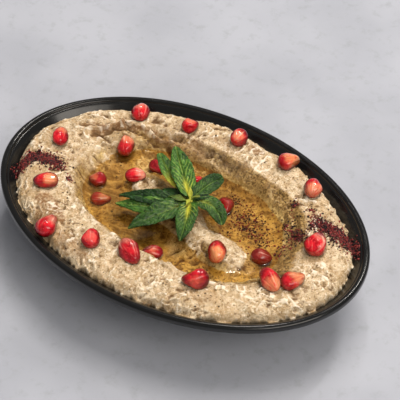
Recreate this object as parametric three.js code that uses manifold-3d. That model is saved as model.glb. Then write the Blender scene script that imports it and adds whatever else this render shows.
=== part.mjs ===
// A dish of baba ganoush: an oval black dish, the smoked aubergine mash spread in it with a spoon,
// a pool of olive oil in the trough, pomegranate arils, pinches of sumac and a sprig of mint.
// Millimetres, +Z up. The origin is the middle of the foot, and +X runs along the dish.
import * as THREE from "three";
import { mergeVertices } from "three/addons/utils/BufferGeometryUtils.js";
import Module from "manifold-3d";

const wasm = await Module();
wasm.setup();

// ---- driving dimensions ----
const LENGTH = 176; // over the lip
const WIDTH = 120;
const HEIGHT = 32;
const GAP = 0.3; // kept between two pieces that touch

const LIP_WIDTH = 3.1;
const LIP_SKIRT = 3.2; // depth of the lip's upright outer side
const FLANK_SUM = 30.1; // on the outer flank inset + height is this, a slope of 45 degrees
const CAVITY_SUM = 34.3; // the same on the inner flank
const FOOT_INSET = 36; // from the lip in to the side of the foot
const FOOT_HEIGHT = 1.5;
const FLOOR = 4.6; // height of the dish's inner floor
const DISH_COLUMNS = 56;

const MASH_COLUMNS = 64;
const MASH_SUM = CAVITY_SUM + GAP * Math.SQRT2;
const MASH_INSET = 6.6; // how far in from the lip the mash meets the dish wall
const EDGE = { waist: 0.4, back: 1 }; // how much further in it meets it at the ends and the back
const RIPPLES = [
  { size: 0.35, count: 9, start: 1 },
  { size: 0.25, count: 14, start: 0 },
];
const CREST = 31.4; // height of the mash beside the trough
const CREST_RISE = 1.5; // how much more it stands in the middle of the broad bands
const CREST_REACH = 1.33; // where it stands so, as a reach from the trough's middle
const SHOULDER = 2.3; // how far in from the dish wall the mash has risen most of the way
// The trough is an oval with full corners: `power` is 2 for an ellipse.
const TROUGH = { x: 2.6, y: 2.2, halfLength: 56.8, halfWidth: 34.5, power: 2.5, skew: 0.03, floor: 23.3 };
// The reach at which the trough's wall meets its floor, less at the back and more in front.
const WALL_FOOT = { reach: 0.775, sway: 0.085, turn: 0.7 };
// The low mound under the sprig and the tongue that runs on from it.
const MOUNDS = [
  { x: -6, y: 0.5, halfLength: 28, halfWidth: 11, turn: -18, rise: 5.2 },
  { x: 27, y: -9, halfLength: 15.5, halfWidth: 9.5, turn: -8, rise: 4.4 },
];
const MOUND_FOOT = 1.22; // the reach at which a mound has sunk into the floor
const MOUND_TOP = 0.55; // and at which it is at its full height
// Spoon terraces in the far wall, round the direction `angle` and `spread` to either side of it.
const TERRACE = { pitch: 6.5, height: 0.9, angle: 118, spread: 48, lean: 0.09 };
const TERRACE_REACH = [0.62, 0.75, 0.97, 1.1]; // they start, are full, still full, and end
// Broad lumps: waves to the millimetre along and across, each bent by the other direction.
const LUMP = { height: 0.42, along: 0.47, across: 0.53 };
const LUMP_BEND = { along: 1.4, across: 1.2, perX: 0.26, perY: 0.21, start: 1 };
const OIL_LEVEL = 25.4;
const OIL_GAP = 0.45; // upright gap between oil and mash, about GAP across its slopes

// Two pinches of sumac: the middle of each streak, its half length, half width and direction.
const SUMAC = [
  { x: 61.5, y: 24.5, halfLength: 12, halfWidth: 4, turn: -4, grains: 22 },
  { x: -66.5, y: -15.5, halfLength: 9.5, halfWidth: 3.2, turn: 28, grains: 14 },
];
const GRAIN = { least: 0.75, most: 1.25, sunk: 0.25 }; // radii, and how far out its middle lies

const STEM = { x: 4.6, y: 1.2, foot: 24.5, top: 35.4, radius: 1.1, sides: 8 };
const LEAF = { thickness: 0.55, along: 6, across: 4, petiole: 0.55, stalk: 0.06 };
const LEAF_OVAL = { belly: 0.72, fullness: 0.62, taper: 0.12 };
const LEAF_WAVE = { height: 0.35, turns: 9, from: 0.1, to: 0.4 };
const ARIL = { around: 8, along: 6, depth: 0.94, taper: 0.3, corner: 0.05, sunk: 0.3 };

const HALF_LENGTH = LENGTH / 2;
const HALF_WIDTH = WIDTH / 2;
const RAD = Math.PI / 180;

// ---- helpers ----

// Goes smoothly from 0 at `from` to 1 at `to`.
function ease(from, to, value) {
  const t = Math.min(1, Math.max(0, (value - from) / (to - from)));
  return t * t * (3 - 2 * t);
}

// A repeatable source of numbers from 0 to 1.
function seeded(seed) {
  let state = seed;
  return () => {
    state = (state * 1664525 + 1013904223) % 4294967296;
    return state / 4294967296;
  };
}

// A geometry with its shared corners merged and its collapsed triangles dropped.
function closed(geometry) {
  geometry.deleteAttribute("normal");
  geometry.deleteAttribute("uv");
  const merged = mergeVertices(geometry, 1e-4);
  const old = merged.index.array;
  const kept = [];
  for (let i = 0; i < old.length; i += 3) {
    const [a, b, c] = [old[i], old[i + 1], old[i + 2]];
    if (a !== b && b !== c && c !== a) kept.push(a, b, c);
  }
  merged.setIndex(kept);
  return merged;
}

function toSolid(geometry) {
  return new wasm.Manifold(
    new wasm.Mesh({
      numProp: 3,
      vertProperties: Float32Array.from(geometry.attributes.position.array),
      triVerts: Uint32Array.from(geometry.index.array),
    }),
  );
}

function toGeometry(solid) {
  const mesh = solid.getMesh();
  const geometry = new THREE.BufferGeometry();
  const points = new Float32Array(mesh.numVert * 3);
  for (let i = 0; i < mesh.numVert; i++) {
    for (let k = 0; k < 3; k++) points[3 * i + k] = mesh.vertProperties[i * mesh.numProp + k];
  }
  geometry.setAttribute("position", new THREE.BufferAttribute(points, 3));
  geometry.setIndex(new THREE.BufferAttribute(Uint32Array.from(mesh.triVerts), 1));
  return geometry;
}

// The largest separate body of a solid: crumbs that a cut leaves loose are dropped.
function largest(solid) {
  return solid.decompose().reduce((a, b) => (a.volume() > b.volume() ? a : b));
}

// Moves every corner of a geometry with move(point), which changes the point.
function reshape(geometry, move) {
  const position = geometry.attributes.position;
  const point = new THREE.Vector3();
  for (let i = 0; i < position.count; i++) {
    point.fromBufferAttribute(position, i);
    move(point);
    position.setXYZ(i, point.x, point.y, point.z);
  }
  return geometry;
}

// A closed skin over rings of corners. Each ring is { share, place }: place(angle, share) puts a
// corner, and a share of 0 closes the skin to a point.
function ringSkin(rings, columns) {
  const profile = rings.map((ring, i) => new THREE.Vector2(ring.share, i));
  const geometry = new THREE.LatheGeometry(profile, columns);
  geometry.rotateX(Math.PI / 2);
  reshape(geometry, (p) => {
    const ring = rings[Math.round(p.z)];
    p.copy(ring.place(Math.atan2(p.y, p.x), ring.share));
  });
  return closed(geometry);
}

// The oval that lies `inset` in from the lip, at one height; from the foot in, it is the foot's
// own oval shrunk, down to a point on the axis.
function ovalRing(inset, height) {
  const shrink = Math.min(1, (HALF_WIDTH - inset) / (HALF_WIDTH - FOOT_INSET));
  const outer = Math.min(inset, FOOT_INSET);
  const place = (angle) =>
    new THREE.Vector3(
      (HALF_LENGTH - outer) * shrink * Math.cos(angle),
      (HALF_WIDTH - outer) * shrink * Math.sin(angle),
      height,
    );
  return { share: shrink > 0 ? 1 : 0, place };
}

// ---- dish ----

function dishGeometry() {
  const skirt = HEIGHT - LIP_SKIRT;
  const section = [
    [HALF_WIDTH, 0],
    [FOOT_INSET, 0],
    [FOOT_INSET - 0.8, FOOT_HEIGHT],
    [27.5, 4.2],
    [21, FLANK_SUM - 21],
    [FLANK_SUM - skirt, skirt],
    [0.4, skirt],
    [0, skirt + 0.5],
    [0, HEIGHT - 1.1],
    [0.5, HEIGHT - 0.3],
    [1.3, HEIGHT],
    [2.5, HEIGHT - 0.2],
    [LIP_WIDTH, CAVITY_SUM - LIP_WIDTH],
    [21.5, CAVITY_SUM - 21.5],
    [28, 7.2],
    [34, FLOOR],
    [HALF_WIDTH, FLOOR],
  ];
  return ringSkin(section.map(([inset, height]) => ovalRing(inset, height)), DISH_COLUMNS);
}

// ---- mash ----

// How far in from the lip the mash ends, all round: it stands back at the two far quarters.
function mashInset(angle) {
  const back = EDGE.back * Math.max(0, Math.sin(angle)) * Math.sin(2 * angle) ** 2;
  const wave = ({ size, count, start }) => size * Math.sin(count * angle + start);
  const ripple = RIPPLES.reduce((sum, one) => sum + wave(one), 0);
  return MASH_INSET + EDGE.waist * Math.cos(2 * angle) + back + ripple;
}

// Where a point lies in the trough: `reach` is 1 on its brink, and `share` is the part of its
// depth that it has there. Its wall is gentle at the back and steep in front.
function troughAt(x, y) {
  const u = (x - TROUGH.x) / TROUGH.halfLength;
  const v = (y - TROUGH.y) / TROUGH.halfWidth;
  const angle = Math.atan2(v, u);
  const oval = (Math.abs(u) ** TROUGH.power + Math.abs(v) ** TROUGH.power) ** (1 / TROUGH.power);
  const reach = oval / (1 - TROUGH.skew * Math.sin(2 * angle));
  const foot = WALL_FOOT.reach - WALL_FOOT.sway * Math.sin(angle + WALL_FOOT.turn);
  return { reach, angle, share: ease(1, foot, reach) };
}

// How far the mounds stand over the trough's floor; where two meet they blend.
function moundRise(x, y) {
  const most = Math.max(...MOUNDS.map((mound) => mound.rise));
  let flat = 1;
  for (const mound of MOUNDS) {
    const c = Math.cos(mound.turn * RAD);
    const s = Math.sin(mound.turn * RAD);
    const along = (x - mound.x) * c + (y - mound.y) * s;
    const across = (y - mound.y) * c - (x - mound.x) * s;
    const reach = Math.hypot(along / mound.halfLength, across / mound.halfWidth);
    flat *= 1 - (mound.rise / most) * ease(MOUND_FOOT, MOUND_TOP, reach);
  }
  return most * (1 - flat);
}

// Spoon terraces in the trough's far wall, and broad lumps everywhere.
function relief(x, y, trough) {
  const [start, full, stillFull, end] = TERRACE_REACH;
  const turned = Math.abs(trough.angle / RAD - TERRACE.angle);
  const onWall = ease(start, full, trough.reach) * ease(end, stillFull, trough.reach);
  const band = ease(TERRACE.spread, TERRACE.spread / 2, turned) * onWall;
  const out = trough.reach * TROUGH.halfWidth;
  const steps = Math.sin((2 * Math.PI * out) / TERRACE.pitch + TERRACE.lean * x);
  const bentX = LUMP.along * x + LUMP_BEND.along * Math.sin(LUMP_BEND.perY * y);
  const bentY = LUMP.across * y + LUMP_BEND.across * Math.sin(LUMP_BEND.perX * x + LUMP_BEND.start);
  return TERRACE.height * band * steps + LUMP.height * Math.sin(bentX) * Math.sin(bentY);
}

// Height of the mash's top: up from the dish wall over a shoulder to the crest, and down again
// into the trough.
function mashHeight(x, y) {
  const round = Math.atan2(y * (HALF_LENGTH - MASH_INSET), x * (HALF_WIDTH - MASH_INSET));
  const inset = mashInset(round);
  const long = HALF_LENGTH - inset;
  const short = HALF_WIDTH - inset;
  const part = Math.hypot(x / long, y / short);
  const slope = Math.hypot(x / long ** 2, y / short ** 2);
  const fromWall = slope > 0 ? Math.max(0, ((1 - part) * part) / slope) : short;
  const rise = 1 - Math.exp(-fromWall / SHOULDER);
  const trough = troughAt(x, y);
  const edge = MASH_SUM - inset;
  const crest = CREST + CREST_RISE * ease(1, CREST_REACH, trough.reach);
  const band = edge + (crest - edge) * rise;
  const floor = TROUGH.floor + moundRise(x, y);
  return band + (floor - band) * trough.share + rise * relief(x, y, trough);
}

// A ring of the spread's top, at a share of the way out to its edge.
function topRing(share, raise) {
  const place = (angle) => {
    const inset = mashInset(angle);
    const x = share * (HALF_LENGTH - inset) * Math.cos(angle);
    const y = share * (HALF_WIDTH - inset) * Math.sin(angle);
    return new THREE.Vector3(x, y, (share < 1 ? mashHeight(x, y) : MASH_SUM - inset) + raise);
  };
  return { share, place };
}

// The whole mash, its underside 0.3 mm off the dish. Its top's rings lie closest where it rolls
// down to the dish wall, evenly over the band and the trough's wall, and wider in the middle.
function spreadGeometry(raise = 0) {
  const below = [
    [HALF_WIDTH, FLOOR + GAP],
    [34.2, FLOOR + GAP],
    [28.5, 7.5],
    [22, MASH_SUM - 22],
  ];
  const roll = [1, 0.985, 0.96];
  const wall = Array.from({ length: 10 }, (_, i) => 0.93 - 0.04 * i);
  const middle = [0.51, 0.45, 0.38, 0.3, 0.21, 0.11, 0];
  const shares = [...roll, ...wall, ...middle];
  const rings = below.map(([inset, height]) => ovalRing(inset, height));
  return ringSkin([...rings, ...shares.map((share) => topRing(share, raise))], MASH_COLUMNS);
}

// Sumac grains, the largest first, thickest in the middle of each streak.
function grainGeometries() {
  const next = seeded(7);
  const grains = [];
  for (const streak of SUMAC) {
    const c = Math.cos(streak.turn * RAD);
    const s = Math.sin(streak.turn * RAD);
    for (let i = 0; i < streak.grains; i++) {
      const along = (next() + next() - 1) * streak.halfLength;
      const across = (next() + next() - 1) * streak.halfWidth;
      const radius = GRAIN.most + ((GRAIN.least - GRAIN.most) * i) / streak.grains;
      const x = streak.x + along * c - across * s;
      const y = streak.y + along * s + across * c;
      const grain = new THREE.IcosahedronGeometry(radius, 0);
      grain.rotateX(next() * Math.PI);
      grain.rotateZ(next() * Math.PI);
      grain.translate(x, y, mashHeight(x, y) + GRAIN.sunk * radius);
      grains.push(closed(grain));
    }
  }
  return grains;
}

// ---- pomegranate arils ----

// Each aril's middle, the direction of its pale tip in degrees, its length and its width.
const ARILS = [
  [-47.8, 35.1, 125, 9.6, 8.8],
  [-67, 1, 125, 10.6, 7],
  [-54, -25, 215, 10.8, 8.2],
  [-36.6, -44.8, 97, 11.2, 9],
  [-16, -41, 125, 9.6, 8.2],
  [1, -37, 152, 13.8, 9.2],
  [4, -25.5, 215, 9, 6.8],
  [-43.7, 18.3, 125, 11, 8.4],
  [-42, -4.5, 200, 8, 7],
  [-34, -12.5, 35, 9, 6.4],
  [-28, 5, 35, 9.2, 6.6],
  [-25.5, 17.5, -20, 8, 6.6],
  [-24, 41, 60, 8, 7.2],
  [-5, 19.3, 100, 8.4, 6.8],
  [-1, 46.5, 90, 9.2, 8],
  [25.5, 46.5, 50, 10, 8],
  [43.2, 38.5, 115, 9.6, 8.4],
  [62, 11, 110, 11.6, 9.8],
  [13.6, 15.1, 300, 8.8, 7.2],
  [28.6, -12.9, 125, 11.2, 8.4],
  [43, -1, 20, 9, 7.4],
  [32.5, -34, 215, 11.2, 9],
  [57, -16, -30, 12, 8.8],
  [65, -11.4, 64, 10.8, 7.8],
];

// An aril: an egg with a drawn-out tip and four soft corners, lying on its side.
function arilGeometry([x, y, turn, length, width], grow = 0) {
  const egg = new THREE.SphereGeometry(1, ARIL.around, ARIL.along);
  egg.rotateZ(-Math.PI / 2);
  reshape(egg, (p) => {
    const corner = 1 + ARIL.corner * Math.cos(4 * Math.atan2(p.z, p.y));
    const tip = 1 - ARIL.taper * Math.max(0, p.x);
    p.x *= length / 2 + grow;
    p.y *= corner * tip * (width / 2 + grow);
    p.z *= corner * tip * ((width / 2) * ARIL.depth + grow);
  });
  egg.rotateZ(turn * RAD);
  egg.translate(x, y, mashHeight(x, y) + width * ARIL.sunk);
  return closed(egg);
}

// ---- mint ----

// Each leaf leaves the stem at `from`; its midrib bends over `bend` to `tip`. `roll` tips the blade
// about its midrib and `fold` lifts its two halves, both in degrees.
const LEAVES = [
  { from: 35, bend: [-7.8, 11.6, 39], tip: [-16.7, 19.8, 41], half: 5.6, roll: 0, fold: 18 },
  { from: 35, bend: [10.5, -9.3, 35.5], tip: [12.6, -17.4, 30.5], half: 5.2, roll: 0, fold: 16 },
  { from: 34, bend: [-9, 6, 35.5], tip: [-22.4, 15.5, 37], half: 3.3, roll: 0, fold: 14, stalk: 0.3 },
  { from: 34.5, bend: [5.5, 11.2, 37.5], tip: [8.8, 19.8, 36], half: 4.2, roll: 25, fold: 14 },
  { from: 34.5, bend: [14.5, 7.5, 36.5], tip: [21.6, 0.6, 30.5], half: 5, roll: 0, fold: 10 },
  { from: 33.5, bend: [-1.5, -12, 35], tip: [-9.7, -24.3, 30.5], half: 6.2, roll: 0, fold: 14 },
  { from: 32.5, bend: [-10, -5, 34], tip: [-24.5, -11, 31.5], half: 4.4, roll: -10, fold: 12 },
  { from: 31, bend: [-8, -10, 32.5], tip: [-24, -14.5, 29.5], half: 5, roll: -14, fold: 8 },
  { from: 31.5, bend: [-4, 3, 34], tip: [-11.5, 2.5, 31.5], half: 2.6, roll: 0, fold: 20 },
];

// Half width of a leaf along its midrib: a short stalk, broadest before the middle, a fine tip.
function leafHalf(leaf, u) {
  const stalk = leaf.stalk ?? LEAF.stalk;
  const blade = Math.max(0, (u - stalk) / (1 - stalk));
  const bulge = Math.sin(Math.PI * blade ** LEAF_OVAL.belly) ** LEAF_OVAL.fullness;
  const oval = bulge * (1 - LEAF_OVAL.taper * blade);
  return Math.max(LEAF.petiole * (1 - 0.6 * u), leaf.half * oval);
}

// Centre of the blade's thickness at `u` along the midrib and `v` across, with its normal.
function leafPoint(leaf, u, v) {
  const ends = [[STEM.x, STEM.y, leaf.from], leaf.bend, leaf.tip];
  const rib = new THREE.QuadraticBezierCurve3(...ends.map((place) => new THREE.Vector3(...place)));
  const along = rib.getTangent(u);
  const side = new THREE.Vector3(0, 0, 1).cross(along).normalize();
  side.applyAxisAngle(along, leaf.roll * RAD);
  const normal = along.clone().cross(side);
  const half = leafHalf(leaf, u);
  const fold = Math.sin(leaf.fold * RAD) * Math.abs(v) * half;
  const wave = LEAF_WAVE.height * v * Math.sin(LEAF_WAVE.turns * u) * ease(LEAF_WAVE.from, LEAF_WAVE.to, u);
  const point = rib.getPoint(u).addScaledVector(side, v * half * Math.cos(leaf.fold * RAD));
  return { point: point.addScaledVector(normal, fold + wave), normal };
}

// A thin wavy blade: an upper and a lower face split alike, and a rim between them.
function leafGeometry(leaf) {
  const sheet = new THREE.PlaneGeometry(1, 2, LEAF.along, LEAF.across);
  const corners = sheet.attributes.position;
  const faces = [-1, 1].map((side) =>
    reshape(sheet.clone(), (p) => {
      const { point, normal } = leafPoint(leaf, p.x + 0.5, p.y);
      p.copy(point).addScaledVector(normal, (side * LEAF.thickness) / 2);
    }),
  );
  const count = corners.count;
  const points = [...faces[0].attributes.position.array, ...faces[1].attributes.position.array];
  const index = [];
  for (let i = 0; i < sheet.index.count; i += 3) {
    const [a, b, c] = [0, 1, 2].map((k) => sheet.index.getX(i + k));
    index.push(c, b, a, a + count, b + count, c + count);
  }
  const wide = LEAF.along + 1;
  const rim = [];
  for (let i = 0; i < LEAF.along; i++) rim.push(i);
  for (let j = 0; j < LEAF.across; j++) rim.push(LEAF.along + j * wide);
  for (let i = LEAF.along; i > 0; i--) rim.push(LEAF.across * wide + i);
  for (let j = LEAF.across; j > 0; j--) rim.push(j * wide);
  rim.forEach((a, i) => {
    const b = rim[(i + 1) % rim.length];
    index.push(a, b + count, b, a, a + count, b + count);
  });
  const blade = new THREE.BufferGeometry();
  blade.setAttribute("position", new THREE.Float32BufferAttribute(points, 3));
  blade.setIndex(index);
  return blade;
}

function stemGeometry(grow = 0) {
  const height = STEM.top - STEM.foot + grow;
  const radius = STEM.radius + grow;
  const stem = new THREE.CylinderGeometry(radius, radius, height, STEM.sides);
  stem.rotateX(Math.PI / 2);
  stem.translate(STEM.x, STEM.y, STEM.foot - grow + height / 2);
  return closed(stem);
}

// ---- joins and cuts ----

function spreadSolid() {
  const grains = grainGeometries().map(toSolid);
  let solid = grains.reduce((all, grain) => all.add(grain), toSolid(spreadGeometry()));
  for (const aril of ARILS) solid = solid.subtract(toSolid(arilGeometry(aril, GAP)));
  return largest(solid.subtract(toSolid(stemGeometry(GAP))));
}

// The oil fills the trough up to its level, round the mound and the arils.
function oilSolid() {
  const depth = OIL_LEVEL - TROUGH.floor + LUMP.height;
  const slab = new THREE.CylinderGeometry(1, 1, depth, MASH_COLUMNS);
  slab.rotateX(Math.PI / 2);
  slab.scale(TROUGH.halfLength, TROUGH.halfWidth, 1);
  slab.translate(TROUGH.x, TROUGH.y, OIL_LEVEL - depth / 2);
  let solid = toSolid(closed(slab)).subtract(toSolid(spreadGeometry(OIL_GAP)));
  for (const aril of ARILS) solid = solid.subtract(toSolid(arilGeometry(aril, GAP)));
  return largest(solid);
}

const materials = {
  dish: new THREE.MeshStandardMaterial({ color: 0x16171a, roughness: 0.22 }),
  mash: new THREE.MeshStandardMaterial({ color: 0xc4ab84, roughness: 0.6 }),
  oil: new THREE.MeshStandardMaterial({ color: 0x9a7a2c, roughness: 0.08 }),
  aril: new THREE.MeshStandardMaterial({ color: 0xb3161f, roughness: 0.15 }),
  mint: new THREE.MeshStandardMaterial({ color: 0x2f6b2a, roughness: 0.45 }),
};

function named(name, geometry, material) {
  const mesh = new THREE.Mesh(geometry, material);
  mesh.name = name;
  return mesh;
}

const group = new THREE.Group();
group.add(named("dish", dishGeometry(), materials.dish));
group.add(named("spread", toGeometry(spreadSolid()), materials.mash));
group.add(named("oil_pool", toGeometry(oilSolid()), materials.oil));
ARILS.forEach((aril, i) => {
  group.add(named("aril_" + String(i + 1).padStart(2, "0"), arilGeometry(aril), materials.aril));
});
const leaves = LEAVES.map(leafGeometry).map(toSolid);
const sprig = leaves.reduce((all, leaf) => all.add(leaf), toSolid(stemGeometry()));
group.add(named("mint_sprig", toGeometry(largest(sprig)), materials.mint));

export default group;
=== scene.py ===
"""Looks for the dish of baba ganoush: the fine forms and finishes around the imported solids.

Sizes are in millimetres, as in the part's own source, and go to metres where a mesh is written.
"""

import math

import bpy
import numpy as np
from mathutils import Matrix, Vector


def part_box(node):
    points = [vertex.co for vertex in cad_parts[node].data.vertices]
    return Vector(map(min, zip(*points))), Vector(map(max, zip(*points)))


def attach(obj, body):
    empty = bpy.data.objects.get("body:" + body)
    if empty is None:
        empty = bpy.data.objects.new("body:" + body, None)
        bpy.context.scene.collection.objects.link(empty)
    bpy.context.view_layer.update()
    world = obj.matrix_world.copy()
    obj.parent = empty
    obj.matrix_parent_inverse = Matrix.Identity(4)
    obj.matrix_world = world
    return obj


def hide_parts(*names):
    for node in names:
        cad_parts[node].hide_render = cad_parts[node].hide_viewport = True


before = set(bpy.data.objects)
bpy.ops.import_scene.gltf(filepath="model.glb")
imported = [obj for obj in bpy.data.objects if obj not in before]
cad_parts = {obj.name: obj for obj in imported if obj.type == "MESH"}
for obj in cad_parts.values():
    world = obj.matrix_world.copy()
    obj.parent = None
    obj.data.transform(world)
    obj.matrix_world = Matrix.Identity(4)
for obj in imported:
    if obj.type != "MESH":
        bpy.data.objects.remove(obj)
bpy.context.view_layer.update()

MM = 0.001
HALF_LENGTH, HALF_WIDTH, HEIGHT = (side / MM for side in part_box("dish")[1])

# ---- the camera ----

AZIMUTH, ELEVATION = 35.42, 45
AIM = Vector((6.16, 6.26, 32)) * MM
DISTANCE = 600 * MM
SENSOR = 36
LENS = 125.12

# ---- the dish ----

LIP_SKIRT = 3.2
FLANK_SUM = 30.1  # on the outer flank inset + height is this, a slope of 45 degrees
CAVITY_SUM = 34.3  # the same on the inner flank
LIP_WIDTH = 3.1
FOOT_INSET = 36
FOOT_HEIGHT = 1.5
FLOOR = 4.6
DISH_SIDES = 224

# ---- the mash ----

MASH_INSET = 6.6
EDGE_WAIST, EDGE_BACK = 0.4, 1
RIPPLES = ((0.35, 9, 1), (0.25, 14, 0))  # size, count round the oval, start
CREST, CREST_RISE, CREST_REACH = 31.4, 1.5, 1.33
SHOULDER = 2.3
TROUGH_X, TROUGH_Y = 2.6, 2.2
TROUGH_HALF_LENGTH, TROUGH_HALF_WIDTH = 56.8, 34.5
TROUGH_POWER = 2.5  # over 2: the oval has fuller corners
TROUGH_SKEW, TROUGH_FLOOR = 0.03, 23.3
WALL_FOOT, WALL_SWAY, WALL_TURN = 0.775, 0.085, 0.7
# x, y, half length, half width, direction in degrees, rise
MOUNDS = ((-6, 0.5, 28, 11, -18, 5.2), (27, -9, 15.5, 9.5, -8, 4.4))
MOUND_FOOT, MOUND_TOP = 1.22, 0.55
TERRACE_PITCH, TERRACE_HEIGHT, TERRACE_LEAN = 6.5, 0.9, 0.09
TERRACE_ANGLE, TERRACE_SPREAD = 118, 48
TERRACE_REACH = (0.62, 0.75, 0.97, 1.1)
LUMP_HEIGHT, LUMP_ALONG, LUMP_ACROSS = 0.42, 0.47, 0.53
LUMP_BEND_X, LUMP_BEND_Y = (1.4, 0.21), (1.2, 0.26)
OIL_LEVEL = 25.4

# Each aril's middle, the direction of its narrow end in degrees, its length and its width. Then the
# pale spot where it grew on the pith: the direction it faces and that direction's height, its
# radius, all in degrees, its strength and how amber it is. Last how dark the red is, and how far
# oil covers it.
ARILS = (
    (-47.8, 35.1, 125, 9.6, 8.8, 125, 62, 48, 0.6, 0.15, 0, 0),
    (-67, 1, 125, 10.6, 7, 110, 55, 42, 0.6, 0.7, 0, 0),
    (-54, -25, 215, 10.8, 8.2, 5, 50, 36, 0.9, 0.9, 0.1, 0),
    (-36.6, -44.8, 97, 11.2, 9, 60, 50, 38, 0.55, 0.2, 0.15, 0),
    (-16, -41, 125, 9.6, 8.2, -55, 60, 25, 0.35, 0.1, 0, 0),
    (1, -37, 152, 13.8, 9.2, 160, 40, 26, 0.6, 0.1, 0.1, 0),
    (4, -25.5, 215, 9, 6.8, -40, 60, 25, 0.3, 0.6, 0.35, 0.1),
    (-43.7, 18.3, 125, 11, 8.4, 90, 55, 50, 0.7, 0.6, 0.1, 0.2),
    (-42, -4.5, 200, 8, 7, 215, 60, 30, 0.4, 0.9, 0.45, 0.25),
    (-34, -12.5, 35, 9, 6.4, 10, 60, 40, 0.9, 1, 0.35, 0.6),
    (-28, 5, 35, 9.2, 6.6, 35, 35, 52, 0.85, 0.1, 0, 0),
    (-25.5, 17.5, -20, 8, 6.6, 0, 60, 20, 0.1, 0, 0.5, 0.1),
    (-24, 41, 60, 8, 7.2, 110, 70, 38, 0.6, 0.6, 0, 0),
    (-5, 19.3, 100, 8.4, 6.8, 100, 50, 30, 0.2, 0.3, 0, 0),
    (-1, 46.5, 90, 9.2, 8, -60, 62, 38, 0.95, 0.6, 0, 0),
    (25.5, 46.5, 50, 10, 8, 25, 50, 62, 0.85, 0.95, 0, 0),
    (43.2, 38.5, 115, 9.6, 8.4, -50, 38, 44, 0.85, 0.6, 0, 0),
    (62, 11, 110, 11.6, 9.8, 55, 55, 30, 0.6, 0.2, 0, 0),
    (13.6, 15.1, 300, 8.8, 7.2, 0, 60, 20, 0.1, 0, 0.6, 0.25),
    (28.6, -12.9, 125, 11.2, 8.4, -55, 40, 42, 0.9, 0.95, 0, 0),
    (43, -1, 20, 9, 7.4, -40, 70, 20, 0.2, 0, 0.8, 0.3),
    (32.5, -34, 215, 11.2, 9, -50, 30, 30, 0.35, 0.6, 0, 0),
    (57, -16, -30, 12, 8.8, -40, 20, 46, 0.75, 0.8, 0, 0),
    (65, -11.4, 64, 10.8, 7.8, 45, 45, 62, 0.85, 0.75, 0, 0),
)
ARIL_SWELL = 1.04  # its skin stands this much over the plain seed's size
ARIL_DEPTH, ARIL_TAPER, ARIL_SUNK = 0.94, 0.3, 0.3

STEM_X, STEM_Y, STEM_FOOT, STEM_TOP, STEM_RADIUS = 4.6, 1.2, 24.5, 35.4, 1.1
# Height on the stem, bend and tip of the midrib, half width, roll, fold, bare stalk, tone from
# dark to light, how blunt the tip is, how far the pale heart runs out along it.
LEAVES = (
    (35, (-7.8, 11.6, 39), (-16.7, 19.8, 41), 5.6, 0, 18, 0.06, 0.85, 0.5, 1),
    (35, (10.5, -9.3, 35.5), (12.6, -17.4, 30.5), 5.2, 0, 16, 0.06, 0.45, 0.3, 0.9),
    (34, (-9, 6, 35.5), (-22.4, 15.5, 37), 3.5, 0, 14, 0.3, 1, 3.5, 1.6),
    (34.5, (5.5, 11.2, 37.5), (8.8, 19.8, 36), 4.4, 25, 14, 0.06, 0.3, 3, 0),
    (34.5, (14.5, 7.5, 36.5), (21.6, 0.6, 30.5), 5, 0, 10, 0.06, 0.45, 1.5, 0.4),
    (33.5, (-1.5, -12, 35), (-9.7, -24.3, 30.5), 6.2, 0, 14, 0.06, 0.36, 0.3, 0.25),
    (32.5, (-10, -5, 34), (-24.5, -11, 31.5), 4.4, -10, 12, 0.06, 0.08, 0.5, 0),
    (31, (-8, -10, 32.5), (-24, -14.5, 29.5), 5, -14, 8, 0.06, 0.85, 0.2, 0),
    (31.5, (-4, 3, 34), (-11.5, 2.5, 31.5), 2.6, 0, 20, 0.06, 0.05, 0.4, 0),
)
LEAF_THICKNESS, LEAF_PETIOLE = 0.4, 0.55
LEAF_WAVE, LEAF_WAVE_TURNS = 0.35, 9
LEAF_BELLY, LEAF_FULLNESS, LEAF_TAPER = 0.72, 0.62, 0.12
LEAF_BLUNT, LEAF_LEAST = 0.14, 0.36  # how far a blunt tip shifts the belly and fills the outline


# ---- small helpers ----


def ease(start, end, value):
    """Goes smoothly from 0 at start to 1 at end."""
    part = np.clip((value - start) / (end - start), 0, 1)
    return part * part * (3 - 2 * part)


def within(start, full, still_full, end, value):
    """Goes up smoothly from start to full, and down again from still_full to end."""
    return ease(start, full, value) * ease(end, still_full, value)


def bell(away, half_width):
    """A ridge: 1 in its middle, about a third at its half width, and soon nothing."""
    return np.exp(-((away / half_width) ** 2))


def oval_reach(x, y, middle_x, middle_y, half_length, half_width, turn):
    """How many of an oval's own half sizes points lie from its middle; its turn is in degrees."""
    c, s = math.cos(math.radians(turn)), math.sin(math.radians(turn))
    u, v = x - middle_x, y - middle_y
    return np.hypot((u * c + v * s) / half_length, (v * c - u * s) / half_width)


def placed(middle_x, middle_y, along, across, turn):
    """The places so far from a middle along a direction in degrees, and across it."""
    c, s = math.cos(math.radians(turn)), math.sin(math.radians(turn))
    return middle_x + along * c - across * s, middle_y + along * s + across * c


def halves(inset):
    """Half length and half width of the oval that lies so far in from the lip."""
    return HALF_LENGTH - inset, HALF_WIDTH - inset


def on_oval(angle, inset=0, share=1):
    """Points so far in from the lip, or only a share of the way out to there."""
    long, short = halves(inset)
    return share * long * np.cos(angle), share * short * np.sin(angle)


def directions(rows):
    """Rows of x, y and z, each brought to length 1."""
    return rows / np.linalg.norm(rows, axis=1)[:, None]


def way(azimuth, height):
    """The direction that lies at an azimuth and a height, both in degrees."""
    turn, lift = math.radians(azimuth), math.radians(height)
    flat = math.cos(lift)
    return np.array([math.cos(turn) * flat, math.sin(turn) * flat, math.sin(lift)])


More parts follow.
